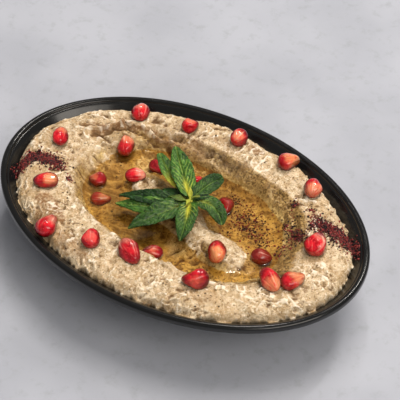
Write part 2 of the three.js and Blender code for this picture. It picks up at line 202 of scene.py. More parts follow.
def points_of(piece):
    """The piece's corners as rows of x, y, z in millimetres."""
    found = np.empty(len(piece.data.vertices) * 3)
    piece.data.vertices.foreach_get("co", found)
    return found.reshape(-1, 3) / MM


def put_points(piece, points):
    piece.data.vertices.foreach_set("co", (points * MM).ravel())
    piece.data.update()


def paint(piece, **marks):
    """Stores numbers on the corners, each set under its name, for the material to read."""
    for name, values in marks.items():
        layer = piece.data.attributes.new(name, "FLOAT", "POINT")
        layer.data.foreach_set("value", np.full(len(layer.data), values, dtype=np.float32))


def started(name, add, **settings):
    """Adds something with nothing else selected, under its own name."""
    bpy.ops.object.select_all(action="DESELECT")
    add(**settings)
    piece = bpy.context.object
    piece.name = piece.data.name = name
    return piece


def sheet(name, cells_along, cells_across):
    """A flat grid, and where its corners lie along it and across it, both from -1 to 1."""
    cells = {"x_subdivisions": cells_along, "y_subdivisions": cells_across}
    piece = started(name, bpy.ops.mesh.primitive_grid_add, size=2, **cells)
    u, v, _ = points_of(piece).T * MM
    return piece, u, v


def edit(pick=None):
    """Opens the piece for editing, with all of it picked, none of it or what was picked."""
    bpy.ops.object.mode_set(mode="EDIT")
    if pick:
        bpy.ops.mesh.select_all(action=pick)


def end_edit():
    """Turns all faces outwards and ends the editing."""
    bpy.ops.mesh.select_all(action="SELECT")
    bpy.ops.mesh.normals_make_consistent(inside=False)
    bpy.ops.object.mode_set(mode="OBJECT")


def set_all(thing, settings):
    for key, value in settings.items():
        setattr(thing, key, value)


def apply_modifier(piece, kind, **settings):
    """Adds a modifier to the piece that was just made, and applies it."""
    modifier = piece.modifiers.new(kind.lower(), kind)
    set_all(modifier, settings)
    bpy.ops.object.modifier_apply(modifier=modifier.name)


def finish_piece(piece, material, *nodes, slot):
    """Gives a piece its finish and its place in the frame."""
    piece.data.materials.clear()
    piece.data.materials.append(material)
    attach(piece, "root")
    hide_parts(*nodes)


# ---- unevenness ----

LATTICE = 256
LATTICE_TURN = 1.3  # radians between the lattices of two seeds that follow each other
CURD_BEND, CURD_BEND_PITCH = 0.45, 1.7  # how far and how slowly the crumbs' rows wander, in pitches
CURD_RADIUS, CURD_RADIUS_MORE = 0.5, 0.4
CURD_LEAST = 0.35  # height of the flattest crumb
TORN_BEND, TORN_BEND_PITCH = 0.6, 1.5


def swell(x, y, pitch, seed):
    """Smooth ups and downs from -1 to 1, about `pitch` from one to the next."""
    table = np.random.default_rng(seed).uniform(-1, 1, (LATTICE, LATTICE))
    turn = LATTICE_TURN * seed
    u = (x * math.cos(turn) + y * math.sin(turn)) / pitch + LATTICE
    v = (y * math.cos(turn) - x * math.sin(turn)) / pitch + LATTICE
    column, row = np.floor(u).astype(int), np.floor(v).astype(int)
    across, down = ease(0, 1, u - column), ease(0, 1, v - row)

    def corner(i, j):
        return table[(column + i) % LATTICE, (row + j) % LATTICE]

    near = corner(0, 0) * (1 - across) + corner(1, 0) * across
    far = corner(0, 1) * (1 - across) + corner(1, 1) * across
    return near * (1 - down) + far * down


def swells(x, y, *waves):
    """Several swells on each other, each with its height, pitch and seed."""
    return sum(height * swell(x, y, pitch, seed) for height, pitch, seed in waves)


def curds(x, y, pitch, seed):
    """Rounded crumbs about `pitch` apart, from 0 between them to 1 on the tallest."""
    bend, bend_pitch = CURD_BEND * pitch, CURD_BEND_PITCH * pitch
    u = (x + bend * swell(x, y, bend_pitch, seed + 50)) / pitch + LATTICE
    v = (y + bend * swell(x, y, bend_pitch, seed + 60)) / pitch + LATTICE
    column, row = np.floor(u).astype(int), np.floor(v).astype(int)
    shift_x, shift_y, size = np.random.default_rng(seed).random((3, LATTICE, LATTICE))
    best = np.zeros_like(u)
    for i in (-1, 0, 1):
        for j in (-1, 0, 1):
            cell = (column + i) % LATTICE, (row + j) % LATTICE
            away = np.hypot(u - column - i - shift_x[cell], v - row - j - shift_y[cell])
            radius = CURD_RADIUS + CURD_RADIUS_MORE * size[cell]
            dome = np.sqrt(np.maximum(0, 1 - (away / radius) ** 2))
            best = np.maximum(best, dome * (CURD_LEAST + (1 - CURD_LEAST) * size[cell]))
    return best


def torn(x, y, pitch, seed):
    """Torn pulp about `pitch` wide: 1 along its sharp crests, towards 0 in the hollows."""
    bend, bend_pitch = TORN_BEND * pitch, TORN_BEND_PITCH * pitch
    bent_x = x + bend * swell(x, y, bend_pitch, seed + 30)
    bent_y = y + bend * swell(x, y, bend_pitch, seed + 40)
    return (1 - np.abs(swell(bent_x, bent_y, pitch, seed))) ** 2


# ---- the mash's form ----

TINY, CENTRE = 1e-9, 1e-6  # they keep the very middle, where no slope is left, from dividing by 0


def inward(x, y, long, short):
    """How far points lie in from an oval's edge."""
    part = np.hypot(x / long, y / short)
    slope = np.maximum(np.hypot(x / long**2, y / short**2), TINY)
    return np.where(part < CENTRE, short, np.maximum(0, (1 - part) * part / slope))


def mash_inset(angle):
    """How far in from the lip the mash ends."""
    back = EDGE_BACK * np.maximum(0, np.sin(angle)) * np.sin(2 * angle) ** 2
    ripple = sum(size * np.sin(count * angle + start) for size, count, start in RIPPLES)
    return MASH_INSET + EDGE_WAIST * np.cos(2 * angle) + back + ripple


def trough_at(x, y):
    """Reach (1 on the trough's brink), direction, and the share of its depth at a point."""
    u = (x - TROUGH_X) / TROUGH_HALF_LENGTH
    v = (y - TROUGH_Y) / TROUGH_HALF_WIDTH
    angle = np.arctan2(v, u)
    round_reach = (np.abs(u) ** TROUGH_POWER + np.abs(v) ** TROUGH_POWER) ** (1 / TROUGH_POWER)
    reach = round_reach / (1 - TROUGH_SKEW * np.sin(2 * angle))
    foot = WALL_FOOT - WALL_SWAY * np.sin(angle + WALL_TURN)
    return reach, angle, ease(1, foot, reach)


def mound_rise(x, y):
    """How far the mounds stand over the trough's floor."""
    most = max(mound[-1] for mound in MOUNDS)
    flat = np.ones_like(x)
    for *oval, rise in MOUNDS:
        flat = flat * (1 - rise / most * ease(MOUND_FOOT, MOUND_TOP, oval_reach(x, y, *oval)))
    return most * (1 - flat)


def terrace_band(reach, angle):
    """1 on the stretch of the far wall that the spoon left in terraces."""
    turned = np.abs(np.degrees(angle) - TERRACE_ANGLE)
    return ease(TERRACE_SPREAD, TERRACE_SPREAD / 2, turned) * within(*TERRACE_REACH, reach)


def mash_height(x, y):
    """Height of the mash's top before its crumb, and how far it has risen from the dish wall."""
    angle = np.arctan2(y * (HALF_LENGTH - MASH_INSET), x * (HALF_WIDTH - MASH_INSET))
    inset = mash_inset(angle)
    long, short = halves(inset)
    rise = 1 - np.exp(-np.minimum(inward(x, y, long, short), short) / SHOULDER)
    reach, turned, share = trough_at(x, y)
    edge = CAVITY_SUM - inset
    crest = CREST + CREST_RISE * ease(1, CREST_REACH, reach)
    band = edge + (crest - edge) * rise
    floor = TROUGH_FLOOR + mound_rise(x, y)
    out = reach * TROUGH_HALF_WIDTH
    steps = np.sin(2 * np.pi * out / TERRACE_PITCH + TERRACE_LEAN * x)
    bent_x = LUMP_ALONG * x + LUMP_BEND_X[0] * np.sin(LUMP_BEND_X[1] * y)
    bent_y = LUMP_ACROSS * y + LUMP_BEND_Y[0] * np.sin(LUMP_BEND_Y[1] * x + 1)
    relief = TERRACE_HEIGHT * terrace_band(reach, turned) * steps
    relief = relief + LUMP_HEIGHT * np.sin(bent_x) * np.sin(bent_y)
    return band + (floor - band) * share + rise * relief, rise


def wall_height(x, y):
    """Height of the dish's inner flank at a point, far below the mash over the floor."""
    return CAVITY_SUM - inward(x, y, HALF_LENGTH, HALF_WIDTH)


def aril_reaches(x, y):
    """For each aril, how many of its own half sizes points lie from its middle in plan."""
    for middle_x, middle_y, turn, length, width, *look in ARILS:
        yield oval_reach(x, y, middle_x, middle_y, length / 2, width / 2, turn)


PATCH_EDGE = ((0.22, 5, 14), (0.16, 2, 15))
PATCH_REACH = (1.15, 0.75)


def patches(spots, x, y):
    """1 inside soft-edged ovals, each with its middle, half sizes, direction and strength."""
    whole = np.zeros_like(x)
    edge = swells(x, y, *PATCH_EDGE)
    for *oval, strength in spots:
        reach = oval_reach(x, y, *oval) + edge
        whole = np.maximum(whole, strength * ease(*PATCH_REACH, reach))
    return whole


def from_line(line, x, y):
    """How far each point lies from a bent line."""
    nearest = np.full_like(x, np.inf)
    for (x0, y0), (x1, y1) in zip(line, line[1:]):
        span_x, span_y = x1 - x0, y1 - y0
        part = ((x - x0) * span_x + (y - y0) * span_y) / (span_x**2 + span_y**2)
        part = np.clip(part, 0, 1)
        nearest = np.minimum(nearest, np.hypot(x - x0 - part * span_x, y - y0 - part * span_y))
    return nearest


# Folds that the spoon left, standing (+) or pressed in (-): line, height, half width.
FOLDS = (
    (((-60.8, 10), (-60.6, 14.5), (-57.2, 17.5), (-54.4, 22), (-51.5, 26.7)), 1.9, 1.1),
    (((-51.5, 26.7), (-48, 27.8), (-42, 29.2), (-34, 28.8), (-26.8, 30.8)), 2.1, 1.1),
    (((-57.8, 12.5), (-54.2, 17), (-51.5, 22.5), (-48, 24.8)), -1.8, 1.2),
    (((-48, 24.8), (-42, 26.4), (-34, 27), (-26, 28.8)), -1.2, 0.9),
    (((-54.6, 15), (-50.5, 14.6)), -1.1, 0.9),
    (((-54, 12.2), (-50.2, 12.4), (-47.5, 17.6)), 0.9, 0.8),
    (((-68, 14.4), (-63.9, 15.6), (-59.5, 19.5), (-56.5, 24.5)), -1.0, 0.8),
    (((-41.7, 31), (-35, 31), (-29, 32.6), (-22, 34)), -0.9, 0.8),
    (((-36, 23.2), (-29.1, 24.8), (-23.2, 26.6), (-15, 27), (-6, 27.6), (1, 28.6)), 1.4, 0.6),
    (((-53, 31), (-46, 34.5), (-37, 37), (-27, 38.5)), -0.7, 0.9),
    (((-50.6, 4.2), (-45.7, 4.6), (-38.2, 5)), -1.4, 0.5),
    (((-51, -8.4), (-45.9, -7.1)), -1.3, 0.5),
    (((-37.9, -7.5), (-34.8, -6.2), (-27.5, -3.4)), -1.4, 0.5),
    (((-31, -22.3), (-26.3, -19.2), (-20.3, -14.3)), -1.4, 0.5),
    (((-53, 8.5), (-46, 8.8), (-40, 11)), 0.8, 0.9),
    (((-53, 1), (-46, 1), (-42, 2)), 0.7, 0.8),
    (((-44, -12), (-36, -12.5), (-30, -10.5)), 0.6, 0.7),
    (((8.3, -22.2), (12, -17.3)), -1.3, 0.5),
    (((15, -23.8), (18.8, -14.8)), -1.5, 0.55),
    (((19.2, -9.6), (24.6, -15.9)), -1.4, 0.55),
    (((12, -19), (15, -13), (20, -8)), 0.7, 0.7),
    (((13, -31.5), (18, -33.4), (21.5, -34.4)), 1.3, 0.45),
    (((16.5, -31), (20, -32.2), (22.2, -33.6)), 1.1, 0.4),
    (((14.5, -32.2), (17.5, -32.4)), -0.8, 0.35),
    (((20.5, -38), (26.3, -41.7)), 0.6, 0.5),
    (((-36, -21.5), (-24, -28), (-10, -31)), 0.5, 0.7),
)
BRINK = 1.015  # the reach at which the mash stands up in a thin lip on the near side
BRINK_HEIGHT, BRINK_WIDTH, BRINK_TURN = 0.9, 0.75, 0.35
CURLS = ((-9, 35, 2.2), (-2.8, 32.2, 2.4), (5.5, 32.3, 1.8))  # small round swirls: middle, radius
CURL_DEPTH, CURL_WIDTH = 0.5, 0.5
NEAR_SIDE = (-0.3, -0.8)  # where the lip starts and is full, as the sine of its place round the trough
BRINK_SHARE, BRINK_FADE = 0.6, (0.5, 6, 78)
FOLD_SHARE, FOLD_FADE = 0.85, (0.35, 2.4, 77)  # how high the folds stand, and how that changes
FOLD_BEND_X = ((0.9, 4, 71), (0.4, 1.5, 75))
FOLD_BEND_Y = ((0.9, 4, 72), (0.4, 1.5, 76))
# Fine strokes along the trough's wall: their height, length and width, and the reach of the wall.
WALL_STROKE, WALL_STROKE_LONG, WALL_STROKE_WIDE = 0.14, 6, 1.3
WALL_REACH = (0.55, 0.7, 0.98, 1.06)
TROUGH_RADIUS = 45  # of a round trough with about as long a wall


def folds(x, y):
    """Ridges and grooves left by the spoon, in millimetres."""
    bent_x = x + swells(x, y, *FOLD_BEND_X)
    bent_y = y + swells(x, y, *FOLD_BEND_Y)
    total = np.zeros_like(x)
    for line, height, half_width in FOLDS:
        total = total + height * bell(from_line(line, bent_x, bent_y), half_width)
    for middle_x, middle_y, radius in CURLS:
        away = np.hypot(bent_x - middle_x, bent_y - middle_y) - radius
        total = total - CURL_DEPTH * bell(away, CURL_WIDTH)
    reach, angle, _ = trough_at(x, y)
    turned = np.mod(angle + math.pi / 2, 2 * math.pi)  # the seam lies in front, out of sight
    out = TROUGH_HALF_WIDTH * reach
    stroke = swell(TROUGH_RADIUS * turned / WALL_STROKE_LONG, out / WALL_STROKE_WIDE, 1, 73)
    total = total * (FOLD_SHARE + swells(x, y, FOLD_FADE))
    near_side = ease(*NEAR_SIDE, np.sin(angle + BRINK_TURN)) * (BRINK_SHARE + swells(x, y, BRINK_FADE))
    brink = BRINK_HEIGHT * bell((reach - BRINK) * TROUGH_HALF_WIDTH, BRINK_WIDTH) * near_side
    return total + brink + WALL_STROKE * stroke * within(*WALL_REACH, reach)


# Strokes through the oiled mash: the direction they run in, how they wander along and across it,
# and the strength, length, width and seed of the broad and the fine ones.
BRUSH_COS, BRUSH_SIN = 0.94, 0.34
BRUSH_BEND_ALONG, BRUSH_BEND_ACROSS = (2, 7, 91), (1.2, 6, 92)
BRUSH_STROKES = ((0.65, 8, 1.5, 93), (0.45, 4, 0.7, 94))


def brushed(x, y):
    """Strokes that the spoon drew through the oiled mash, from -1 to 1."""
    along = BRUSH_COS * x + BRUSH_SIN * y + swells(x, y, BRUSH_BEND_ALONG)
    across = BRUSH_COS * y - BRUSH_SIN * x + swells(x, y, BRUSH_BEND_ACROSS)
    strokes = (
        share * swell(along / long, across / wide, 1, seed)
        for share, long, wide, seed in BRUSH_STROKES
    )
    return sum(strokes)


# Where the oil ran off the mash, where it stands deep, where it only veils pale mash, and where the
# mash is browner: middle, half length, half width, direction in degrees, strength. Some of the deep and
# brown patches also paint shade, and one veiled patch paints light.
BARE_PATCHES = (
    (-24, 3.5, 9, 4.5, -8, 1),
    (-33, 17, 4, 7, 8, 0.85),
    (19, -4, 12, 6, -20, 1),
    (33, -8, 11, 7, -12, 0.9),
    (12, -13.5, 9, 6.5, -15, 0.85),
    (-46, 8, 2.5, 6, 0, 0.5),
    (-20, 33.5, 14, 1.6, 5, 0.4),
)
# The deep patches in the front-left of the pool also paint the shade there.
DEEP_AND_SHADED_PATCHES = (
    (-15.5, -18, 14, 7, -14, 0.65),
    (-5, -20, 9, 5, -8, 0.7),
    (-29, -9.5, 6, 3.4, -30, 0.65),
    (11, 21, 9, 7, -30, 0.6),
    (46, 3, 6, 5, 60, 0.5),
    (-14, 8, 10, 8, 0, 0.5),
    (24, 12, 9, 5, -20, 0.4),
    (-44, 15, 3, 3, 0, 0.7),
)
# The patch at -33, 20.5 also paints light on the back wall, which the lamps leave in shade.
VEILED_AND_LIT_PATCHES = (
    (38, -17, 10, 7, 25, 1),
    (25, -23, 9, 4, 0, 1),
    (12, -25, 5, 2.5, -20, 0.7),
    (14, -17, 6, 4, -20, 0.7),
    (4, -14, 5, 3, 0, 0.4),
    (-37.5, 13, 4.5, 3, 0, 0.9),
    (-49.5, 6, 4.5, 5, 0, 0.8),
    (-34.5, -20.5, 6, 2.6, -30, 0.8),
    (-43, -12, 3, 4, -20, 0.5),
    (44, 9, 7, 5, 60, 0.6),
    (32, 21, 12, 5, -10, 0.6),
    (30, 3, 8, 3, -30, 0.4),
    (-33, 20.5, 9, 3, 0, 0.7),
)
# Where the oil is only a film over the strokes.
FILM_PATCHES = (
    (-46, 3, 12, 24, 0, 1),
    (-33, -10, 10, 9, 0, 0.8),
    (-30, 20, 10, 6, 0, 0.6),
    (13, -24, 8, 3, -10, 0.4),
)
# Along the back-left brink, on the back wall, over the left end and at the front left, the brown also
# paints shade.
BROWN_AND_SHADED_PATCHES = (
    (-55.5, 18, 6, 3.2, 50, 0.9),
    (-48, 24.5, 9, 3.6, 25, 1),
    (-34, 28.6, 13, 3.8, 4, 1),
    (-20, 32, 11, 4, 8, 0.8),
    (-62, 17, 6, 1.6, 35, 0.7),
    (-5, 42, 9, 3, 0, 0.4),
    (9, 46, 4, 3, 0, 0.8),
    (50, 33, 6, 4, -30, 0.1),
    (-66, 0, 12, 26, 0, 0.2),
    (-42, -37, 12, 6, -40, 0.9),
    (-25, -46, 12, 4, -12, 0.5),
    (38, -38, 8, 4, 20, 0.3),
)

WET_EDGE = ((0.02, 7, 11), (0.015, 2.6, 12))
WET_REACH = (1.01, 0.97)  # the reach at which the mash is dry, and soaked
TERRACE_DRY, LEFT_DRY, RIDGE_DRY, BARE = 0.25, 0.7, 0.6, 0.95  # how far each keeps the oil off
TERRACE_OVER, LEFT_OVER, FILM_OVER = (0.5, 2), (-0.2, 1.4), (2.6, 0.6)  # heights over the oil
LEFT_END, LEFT_EDGE = (-0.8, -1), (0.12, 6, 16)  # in half lengths of the trough
LEFT_BACK = (29, 18)  # where along y the bare left end stops
RIDGE_HEIGHT = (0.25, 0.7)


def wetness(x, y, height):
    """How far oil has soaked the mash: 1 on the trough's wall and floor, 0 on the dry band."""
    reach, angle, _ = trough_at(x, y)
    inside = ease(*WET_REACH, reach + swells(x, y, *WET_EDGE))
    over = height - OIL_LEVEL
    terrace = terrace_band(reach, angle) * ease(*TERRACE_OVER, over)
    leftward = (x - TROUGH_X) / TROUGH_HALF_LENGTH + swells(x, y, LEFT_EDGE)
    left = ease(*LEFT_END, leftward) * ease(*LEFT_OVER, over) * ease(*LEFT_BACK, y)
    ridge = ease(*RIDGE_HEIGHT, folds(x, y))
    bare = 1 - BARE * patches(BARE_PATCHES, x, y)
    return inside * bare * (1 - TERRACE_DRY * terrace) * (1 - LEFT_DRY * left) * (1 - RIDGE_DRY * ridge)


def film_over(x, y, height):
    """Where the oil is only a film over the strokes, low down in the trough."""
    return patches(FILM_PATCHES, x, y) * ease(*FILM_OVER, height - OIL_LEVEL)


EDGE_DROP = 5  # how far the mash falls from its crest to the dish wall


def unrolled(x, y, rise):
    """The places that lie as far apart as along the mash's slopes, not as seen from above."""
    _, turned, share = trough_at(x, y)
    climb = (CREST - TROUGH_FLOOR) * (1 - share) + EDGE_DROP * (1 - rise)
    return x + climb * np.cos(turned), y + climb * np.sin(turned)


# The crumb: the height, pitch and seed of its broad swells, its round curds, its torn shreds and
# its grit, and how rough it is from place to place.
BROAD = ((0.4, 10, 20), (0.3, 6, 21), (0.24, 3.4, 22))
CURDS = ((0.5, 3.1, 23), (0.22, 1.3, 24))
SHREDS = ((0.85, 3, 27), (0.4, 1.3, 28))
GRIT = (0.12, 0.62, 25)
CURD_MEAN, SHRED_MEAN = 0.45, 0.5
ROUGH_LEAST, ROUGH_MORE, ROUGH_PLACES = 0.5, 0.75, (1, 8, 26)
OIL_SMOOTHS = 0.2
WALL_RELIEF = 0.6  # the share of the relief that is left at the dish wall
# How far the pressed folds add to the painted shade and highlight of the fine relief.
PRESSED_SHADE, PRESSED_MOST = 0.7, 0.3


def crumb(x, y, wet, rise, pressed):
    """The coarse pulp on the mash's top, in millimetres up and down; oil smooths it. Also its finest
    part alone, with the pressed folds added, which the colour uses to paint shade into the hollows and
    highlights onto the crests."""
    fine = swells(x, y, GRIT)
    for height, pitch, seed in CURDS:
        fine = fine + height * (curds(x, y, pitch, seed) - CURD_MEAN)
    for height, pitch, seed in SHREDS:
        fine = fine + height * (torn(x, y, pitch, seed) - SHRED_MEAN)
    rough = ROUGH_LEAST + ROUGH_MORE * ease(-0.5, 0.5, swells(x, y, ROUGH_PLACES))
    fine = fine * rough * (1 - OIL_SMOOTHS * wet)
    relief = (swells(x, y, *BROAD) + fine) * (WALL_RELIEF + (1 - WALL_RELIEF) * rise) + pressed
    return relief, fine + PRESSED_SHADE * np.minimum(pressed, PRESSED_MOST)


# ---- the mash ----

MASH_CELLS_LONG, MASH_CELLS_SHORT = 364, 244
MASH_UNDER = ((22, 0), (28.5, 7.5), (34.2, FLOOR + 0.3))  # inset and height of its underside
SEAT_BERM, SEAT_WIDTH = 0.32, 0.2  # how the mash swells up round a pressed-in aril
BRUSH_HEIGHT = 0.22
RAGGED_RIM, RAGGED_FROM = ((0.8, 4, 31), (0.75, 1.6, 32)), 0.9
RIM_SHARE, RIM_DROP, UNDER_DROP = 0.9999, 0.15, 0.4  # the outermost ring, and its gaps to the dish
# The golden tone: where it starts and is full over the oil's level, how its shore wanders, how far
# it climbs at the left end, and where along x that is.
GOLD_OVER, GOLD_SHORE, GOLD_CLIMB, GOLD_LEFT = (3, -0.2), (0.9, 4, 33), 3, (-25, -40)


def surface(x, y):
    """Top of the finished mash at any point, with how wet it is and its finest relief."""
    height, rise = mash_height(x, y)
    wet = wetness(x, y, height)
    relief, fine = crumb(*unrolled(x, y, rise), wet, rise, folds(x, y))
    height = height + relief + BRUSH_HEIGHT * brushed(x, y) * film_over(x, y, height)
    for reach in aril_reaches(x, y):
        height = height + SEAT_BERM * bell(reach - 1, SEAT_WIDTH)
    return height, wet, fine


def disc_of(u, v):
    """Square corners from -1 to 1 moved onto a round disc, cell by cell."""
    return u * np.sqrt(1 - v * v / 2), v * np.sqrt(1 - u * u / 2)


def make_mash():
    piece, u, v = sheet("mash", MASH_CELLS_LONG, MASH_CELLS_SHORT)
    u, v = disc_of(u, v)
    angle, share = np.arctan2(v, u), np.hypot(u, v)
    ragged = swells(*on_oval(angle), *RAGGED_RIM)
    inset = mash_inset(angle) + ragged * ease(RAGGED_FROM, 1, share)
    x, y = on_oval(angle, inset, share)
    height, wet, fine = surface(x, y)
    height = np.maximum(height, wall_height(x, y))
    height = np.where(share > RIM_SHARE, CAVITY_SUM - inset - RIM_DROP, height)
    put_points(piece, np.column_stack([x, y, height]))
    over = height - OIL_LEVEL + swells(x, y, GOLD_SHORE) - GOLD_CLIMB * ease(*GOLD_LEFT, x)
    paint(
        piece, wet=wet, crag=fine, gold=ease(*GOLD_OVER, over),
        deep=patches(DEEP_AND_SHADED_PATCHES, x, y), veil=patches(VEILED_AND_LIT_PATCHES, x, y),
        film=film_over(x, y, height), brush=brushed(x, y),
        brown=patches(BROWN_AND_SHADED_PATCHES, x, y), dust=sumac_dust(x, y),
    )
    close_mash()
    bpy.ops.object.shade_smooth()
    finish_piece(piece, mash_finish(), "spread", slot="mash")


def close_mash():
    """Draws the rim down along the dish wall and closes the underside."""
    edit("DESELECT")
    bpy.ops.mesh.select_mode(type="EDGE")
    bpy.ops.mesh.select_non_manifold()
    last = MASH_INSET
    for inset, height in MASH_UNDER:
        height = height or CAVITY_SUM - inset - UNDER_DROP
        bpy.ops.mesh.extrude_edges_indiv()
        scale = (new / old for new, old in zip(halves(inset), halves(last)))
        bpy.ops.transform.resize(value=(*scale, 0), center_override=(0, 0, height * MM))
        last = inset
    bpy.ops.mesh.edge_face_add()
    end_edit()


# ---- the oil ----

OIL_CELLS = 0.5  # side of the oil's cells
OIL_MARGIN = 2  # how far past the trough's brink the first, whole sheet reaches
OIL_SKIRT = 1.4  # how far under the mash's surface the oil's sheet goes on before it ends
OIL_DROP = 0.6  # how far under the mash its lower side lies
# How far it creeps up the mash and the arils, and its ripples.
CREEP, CREEP_REACH = 0.06, 0.3
ARIL_CREEP, ARIL_CREEP_AT, ARIL_CREEP_WIDTH = 0.1, 0.95, 0.14
OIL_RIPPLES = ((0.04, 5, 41), (0.02, 2.2, 42))


def make_oil():
    half_length = TROUGH_HALF_LENGTH + OIL_MARGIN
    half_width = TROUGH_HALF_WIDTH + OIL_MARGIN
    cells = int(2 * half_length / OIL_CELLS), int(2 * half_width / OIL_CELLS)
    piece, u, v = sheet("olive_oil", *cells)
    x, y = TROUGH_X + u * half_length, TROUGH_Y + v * half_width
    depth = OIL_LEVEL - surface(x, y)[0]
    creep = CREEP * np.exp(-np.maximum(depth, 0) / CREEP_REACH)
    for reach in aril_reaches(x, y):
        creep = creep + ARIL_CREEP * bell(reach - ARIL_CREEP_AT, ARIL_CREEP_WIDTH)
    put_points(piece, np.column_stack([x, y, OIL_LEVEL + creep + swells(x, y, *OIL_RIPPLES)]))
    edit("DESELECT")
    bpy.ops.mesh.select_mode(type="VERT")
    bpy.ops.object.mode_set(mode="OBJECT")
    piece.data.vertices.foreach_set("select", depth < -OIL_SKIRT)
    edit()
    bpy.ops.mesh.delete(type="VERT")
    bpy.ops.mesh.select_all(action="SELECT")
    bpy.ops.mesh.extrude_region_move(TRANSFORM_OT_translate={"value": (0, 0, -0.1 * MM)})
    bpy.ops.object.mode_set(mode="OBJECT")
    points = points_of(piece)
    low = np.zeros(len(points), bool)
    piece.data.vertices.foreach_get("select", low)
    under = surface(points[low, 0], points[low, 1])[0] - OIL_DROP
    points[low, 2] = np.minimum(points[low, 2], under)
    put_points(piece, points)
    edit()
    end_edit()
    bpy.ops.object.shade_smooth()
    finish_piece(piece, oil_finish(), "oil_pool", slot="olive_oil")


# ---- the dish ----

LIP_TURNS = range(0, 181, 15)  # degrees round the rolled lip
LIP_FLAT = 0.8  # the lip's rise over its half width
HOLLOW, STEP, SKIRT_EDGE = 0.35, 0.8, 0.35  # under the foot, at both ends of the flank, at the skirt
EDGE_ROUND, EDGE_ANGLE, SMOOTH_ANGLE = 0.3, 25, 35


def dish_rings():
    """Inset and height of each ring, from the middle of the foot round to the inner floor."""
    skirt = HEIGHT - LIP_SKIRT
    crest = LIP_WIDTH / 2
    lip = (
        (crest - crest * math.cos(turn), HEIGHT - crest * LIP_FLAT * (1 - math.sin(turn)))
        for turn in map(math.radians, LIP_TURNS)
    )
    flank = (LIP_WIDTH + 0.5, LIP_WIDTH + 1.2, 12, 21.5)
    return (
        (FOOT_INSET + 3, HOLLOW), (FOOT_INSET + 1.4, 0), (FOOT_INSET, 0),
        (FOOT_INSET - STEP, FOOT_HEIGHT), (27.5, 4.2), (21, FLANK_SUM - 21),
        (FLANK_SUM - skirt + STEP, skirt - STEP), (FLANK_SUM - skirt, skirt),
        (SKIRT_EDGE, skirt), (0, skirt + SKIRT_EDGE), *lip,
        *((inset, CAVITY_SUM - inset) for inset in flank), (28, 7.2), (34, FLOOR),
    )


def make_dish():
    """Draws the oval out ring by ring, as the mould's section runs."""
    piece = started(
        "oval_dish", bpy.ops.mesh.primitive_circle_add, vertices=DISH_SIDES, radius=1
    )
    edit("SELECT")
    last = (1 / MM, 1 / MM, 0)
    for i, (inset, height) in enumerate(dish_rings()):
        if i:
            bpy.ops.mesh.extrude_edges_indiv()
        ring = (*halves(inset), height)
        scale = (ring[0] / last[0], ring[1] / last[1], 1)
        bpy.ops.transform.resize(value=scale, center_override=(0, 0, 0))
        bpy.ops.transform.translate(value=(0, 0, (ring[2] - last[2]) * MM))
        last = ring
    bpy.ops.mesh.edge_face_add()
    bpy.ops.mesh.select_all(action="DESELECT")
    bpy.ops.mesh.select_non_manifold()
    bpy.ops.mesh.edge_face_add()
    end_edit()
    limit = {"limit_method": "ANGLE", "angle_limit": math.radians(EDGE_ANGLE)}
    apply_modifier(piece, "BEVEL", width=EDGE_ROUND * MM, segments=2, **limit)
    bpy.ops.object.shade_smooth_by_angle(angle=math.radians(SMOOTH_ANGLE))
    finish_piece(piece, dish_finish(), "dish", slot="black_melamine")


# ---- the arils ----

ARIL_SEGMENTS, ARIL_RINGS = 44, 28
FACETS = 7  # flats pressed into a seed by its neighbours in the fruit
FACET_SHARP = 7  # how crisp their edges are
FACET_TILT, FACET_STRAY = 28, 0.6  # how far a flat leans, in degrees, and strays round the seed
FACET_NEAR, FACET_FAR = 0.72, 0.9  # how far out it lies, in radii
FACET_EDGE = 0.07
PAINTED_LIGHT_SIDE = (-60, 50)  # the side the painted light comes from; the red is painted darker facing away from it
SPOT_SOFT_OUT, SPOT_SOFT_IN = 20, 22  # how far the pale spot fades out and in, in degrees
SPOT_STREAKS, SPOT_PATCHES = 0.13, 0.1  # how ragged they make its edge
STREAKS, FINE_STREAKS = (4, 200), (7, 400)  # how close together, and their first seed
STREAK_SLIDE, SKIN_PATCH = 0.3, 0.8


def facets_of(unit, number):
    """A round body flattened on a few sides: how far out it goes in each direction, how light
    the flat there is, and 1 along the flats' edges."""
    rng = np.random.default_rng(100 + number)
    sides, tones = [], []
    for k in range(FACETS):
        turn = 360 * (k + FACET_STRAY * rng.random()) / FACETS
        y, z, x = way(turn, rng.uniform(-FACET_TILT, FACET_TILT))
        facing = np.maximum(0, unit @ np.array([x, y, z]))
        sides.append(facing / rng.uniform(FACET_NEAR, FACET_FAR))
        tones.append(rng.uniform(-1, 1))
    sides = np.array(sides)
    reach = (1 + (sides ** (2 * FACET_SHARP)).sum(axis=0)) ** (-0.5 / FACET_SHARP)
    second, first = np.sort(sides, axis=0)[-2:]
    return reach, np.array(tones)[sides.argmax(axis=0)], ease(FACET_EDGE, 0, first - second)


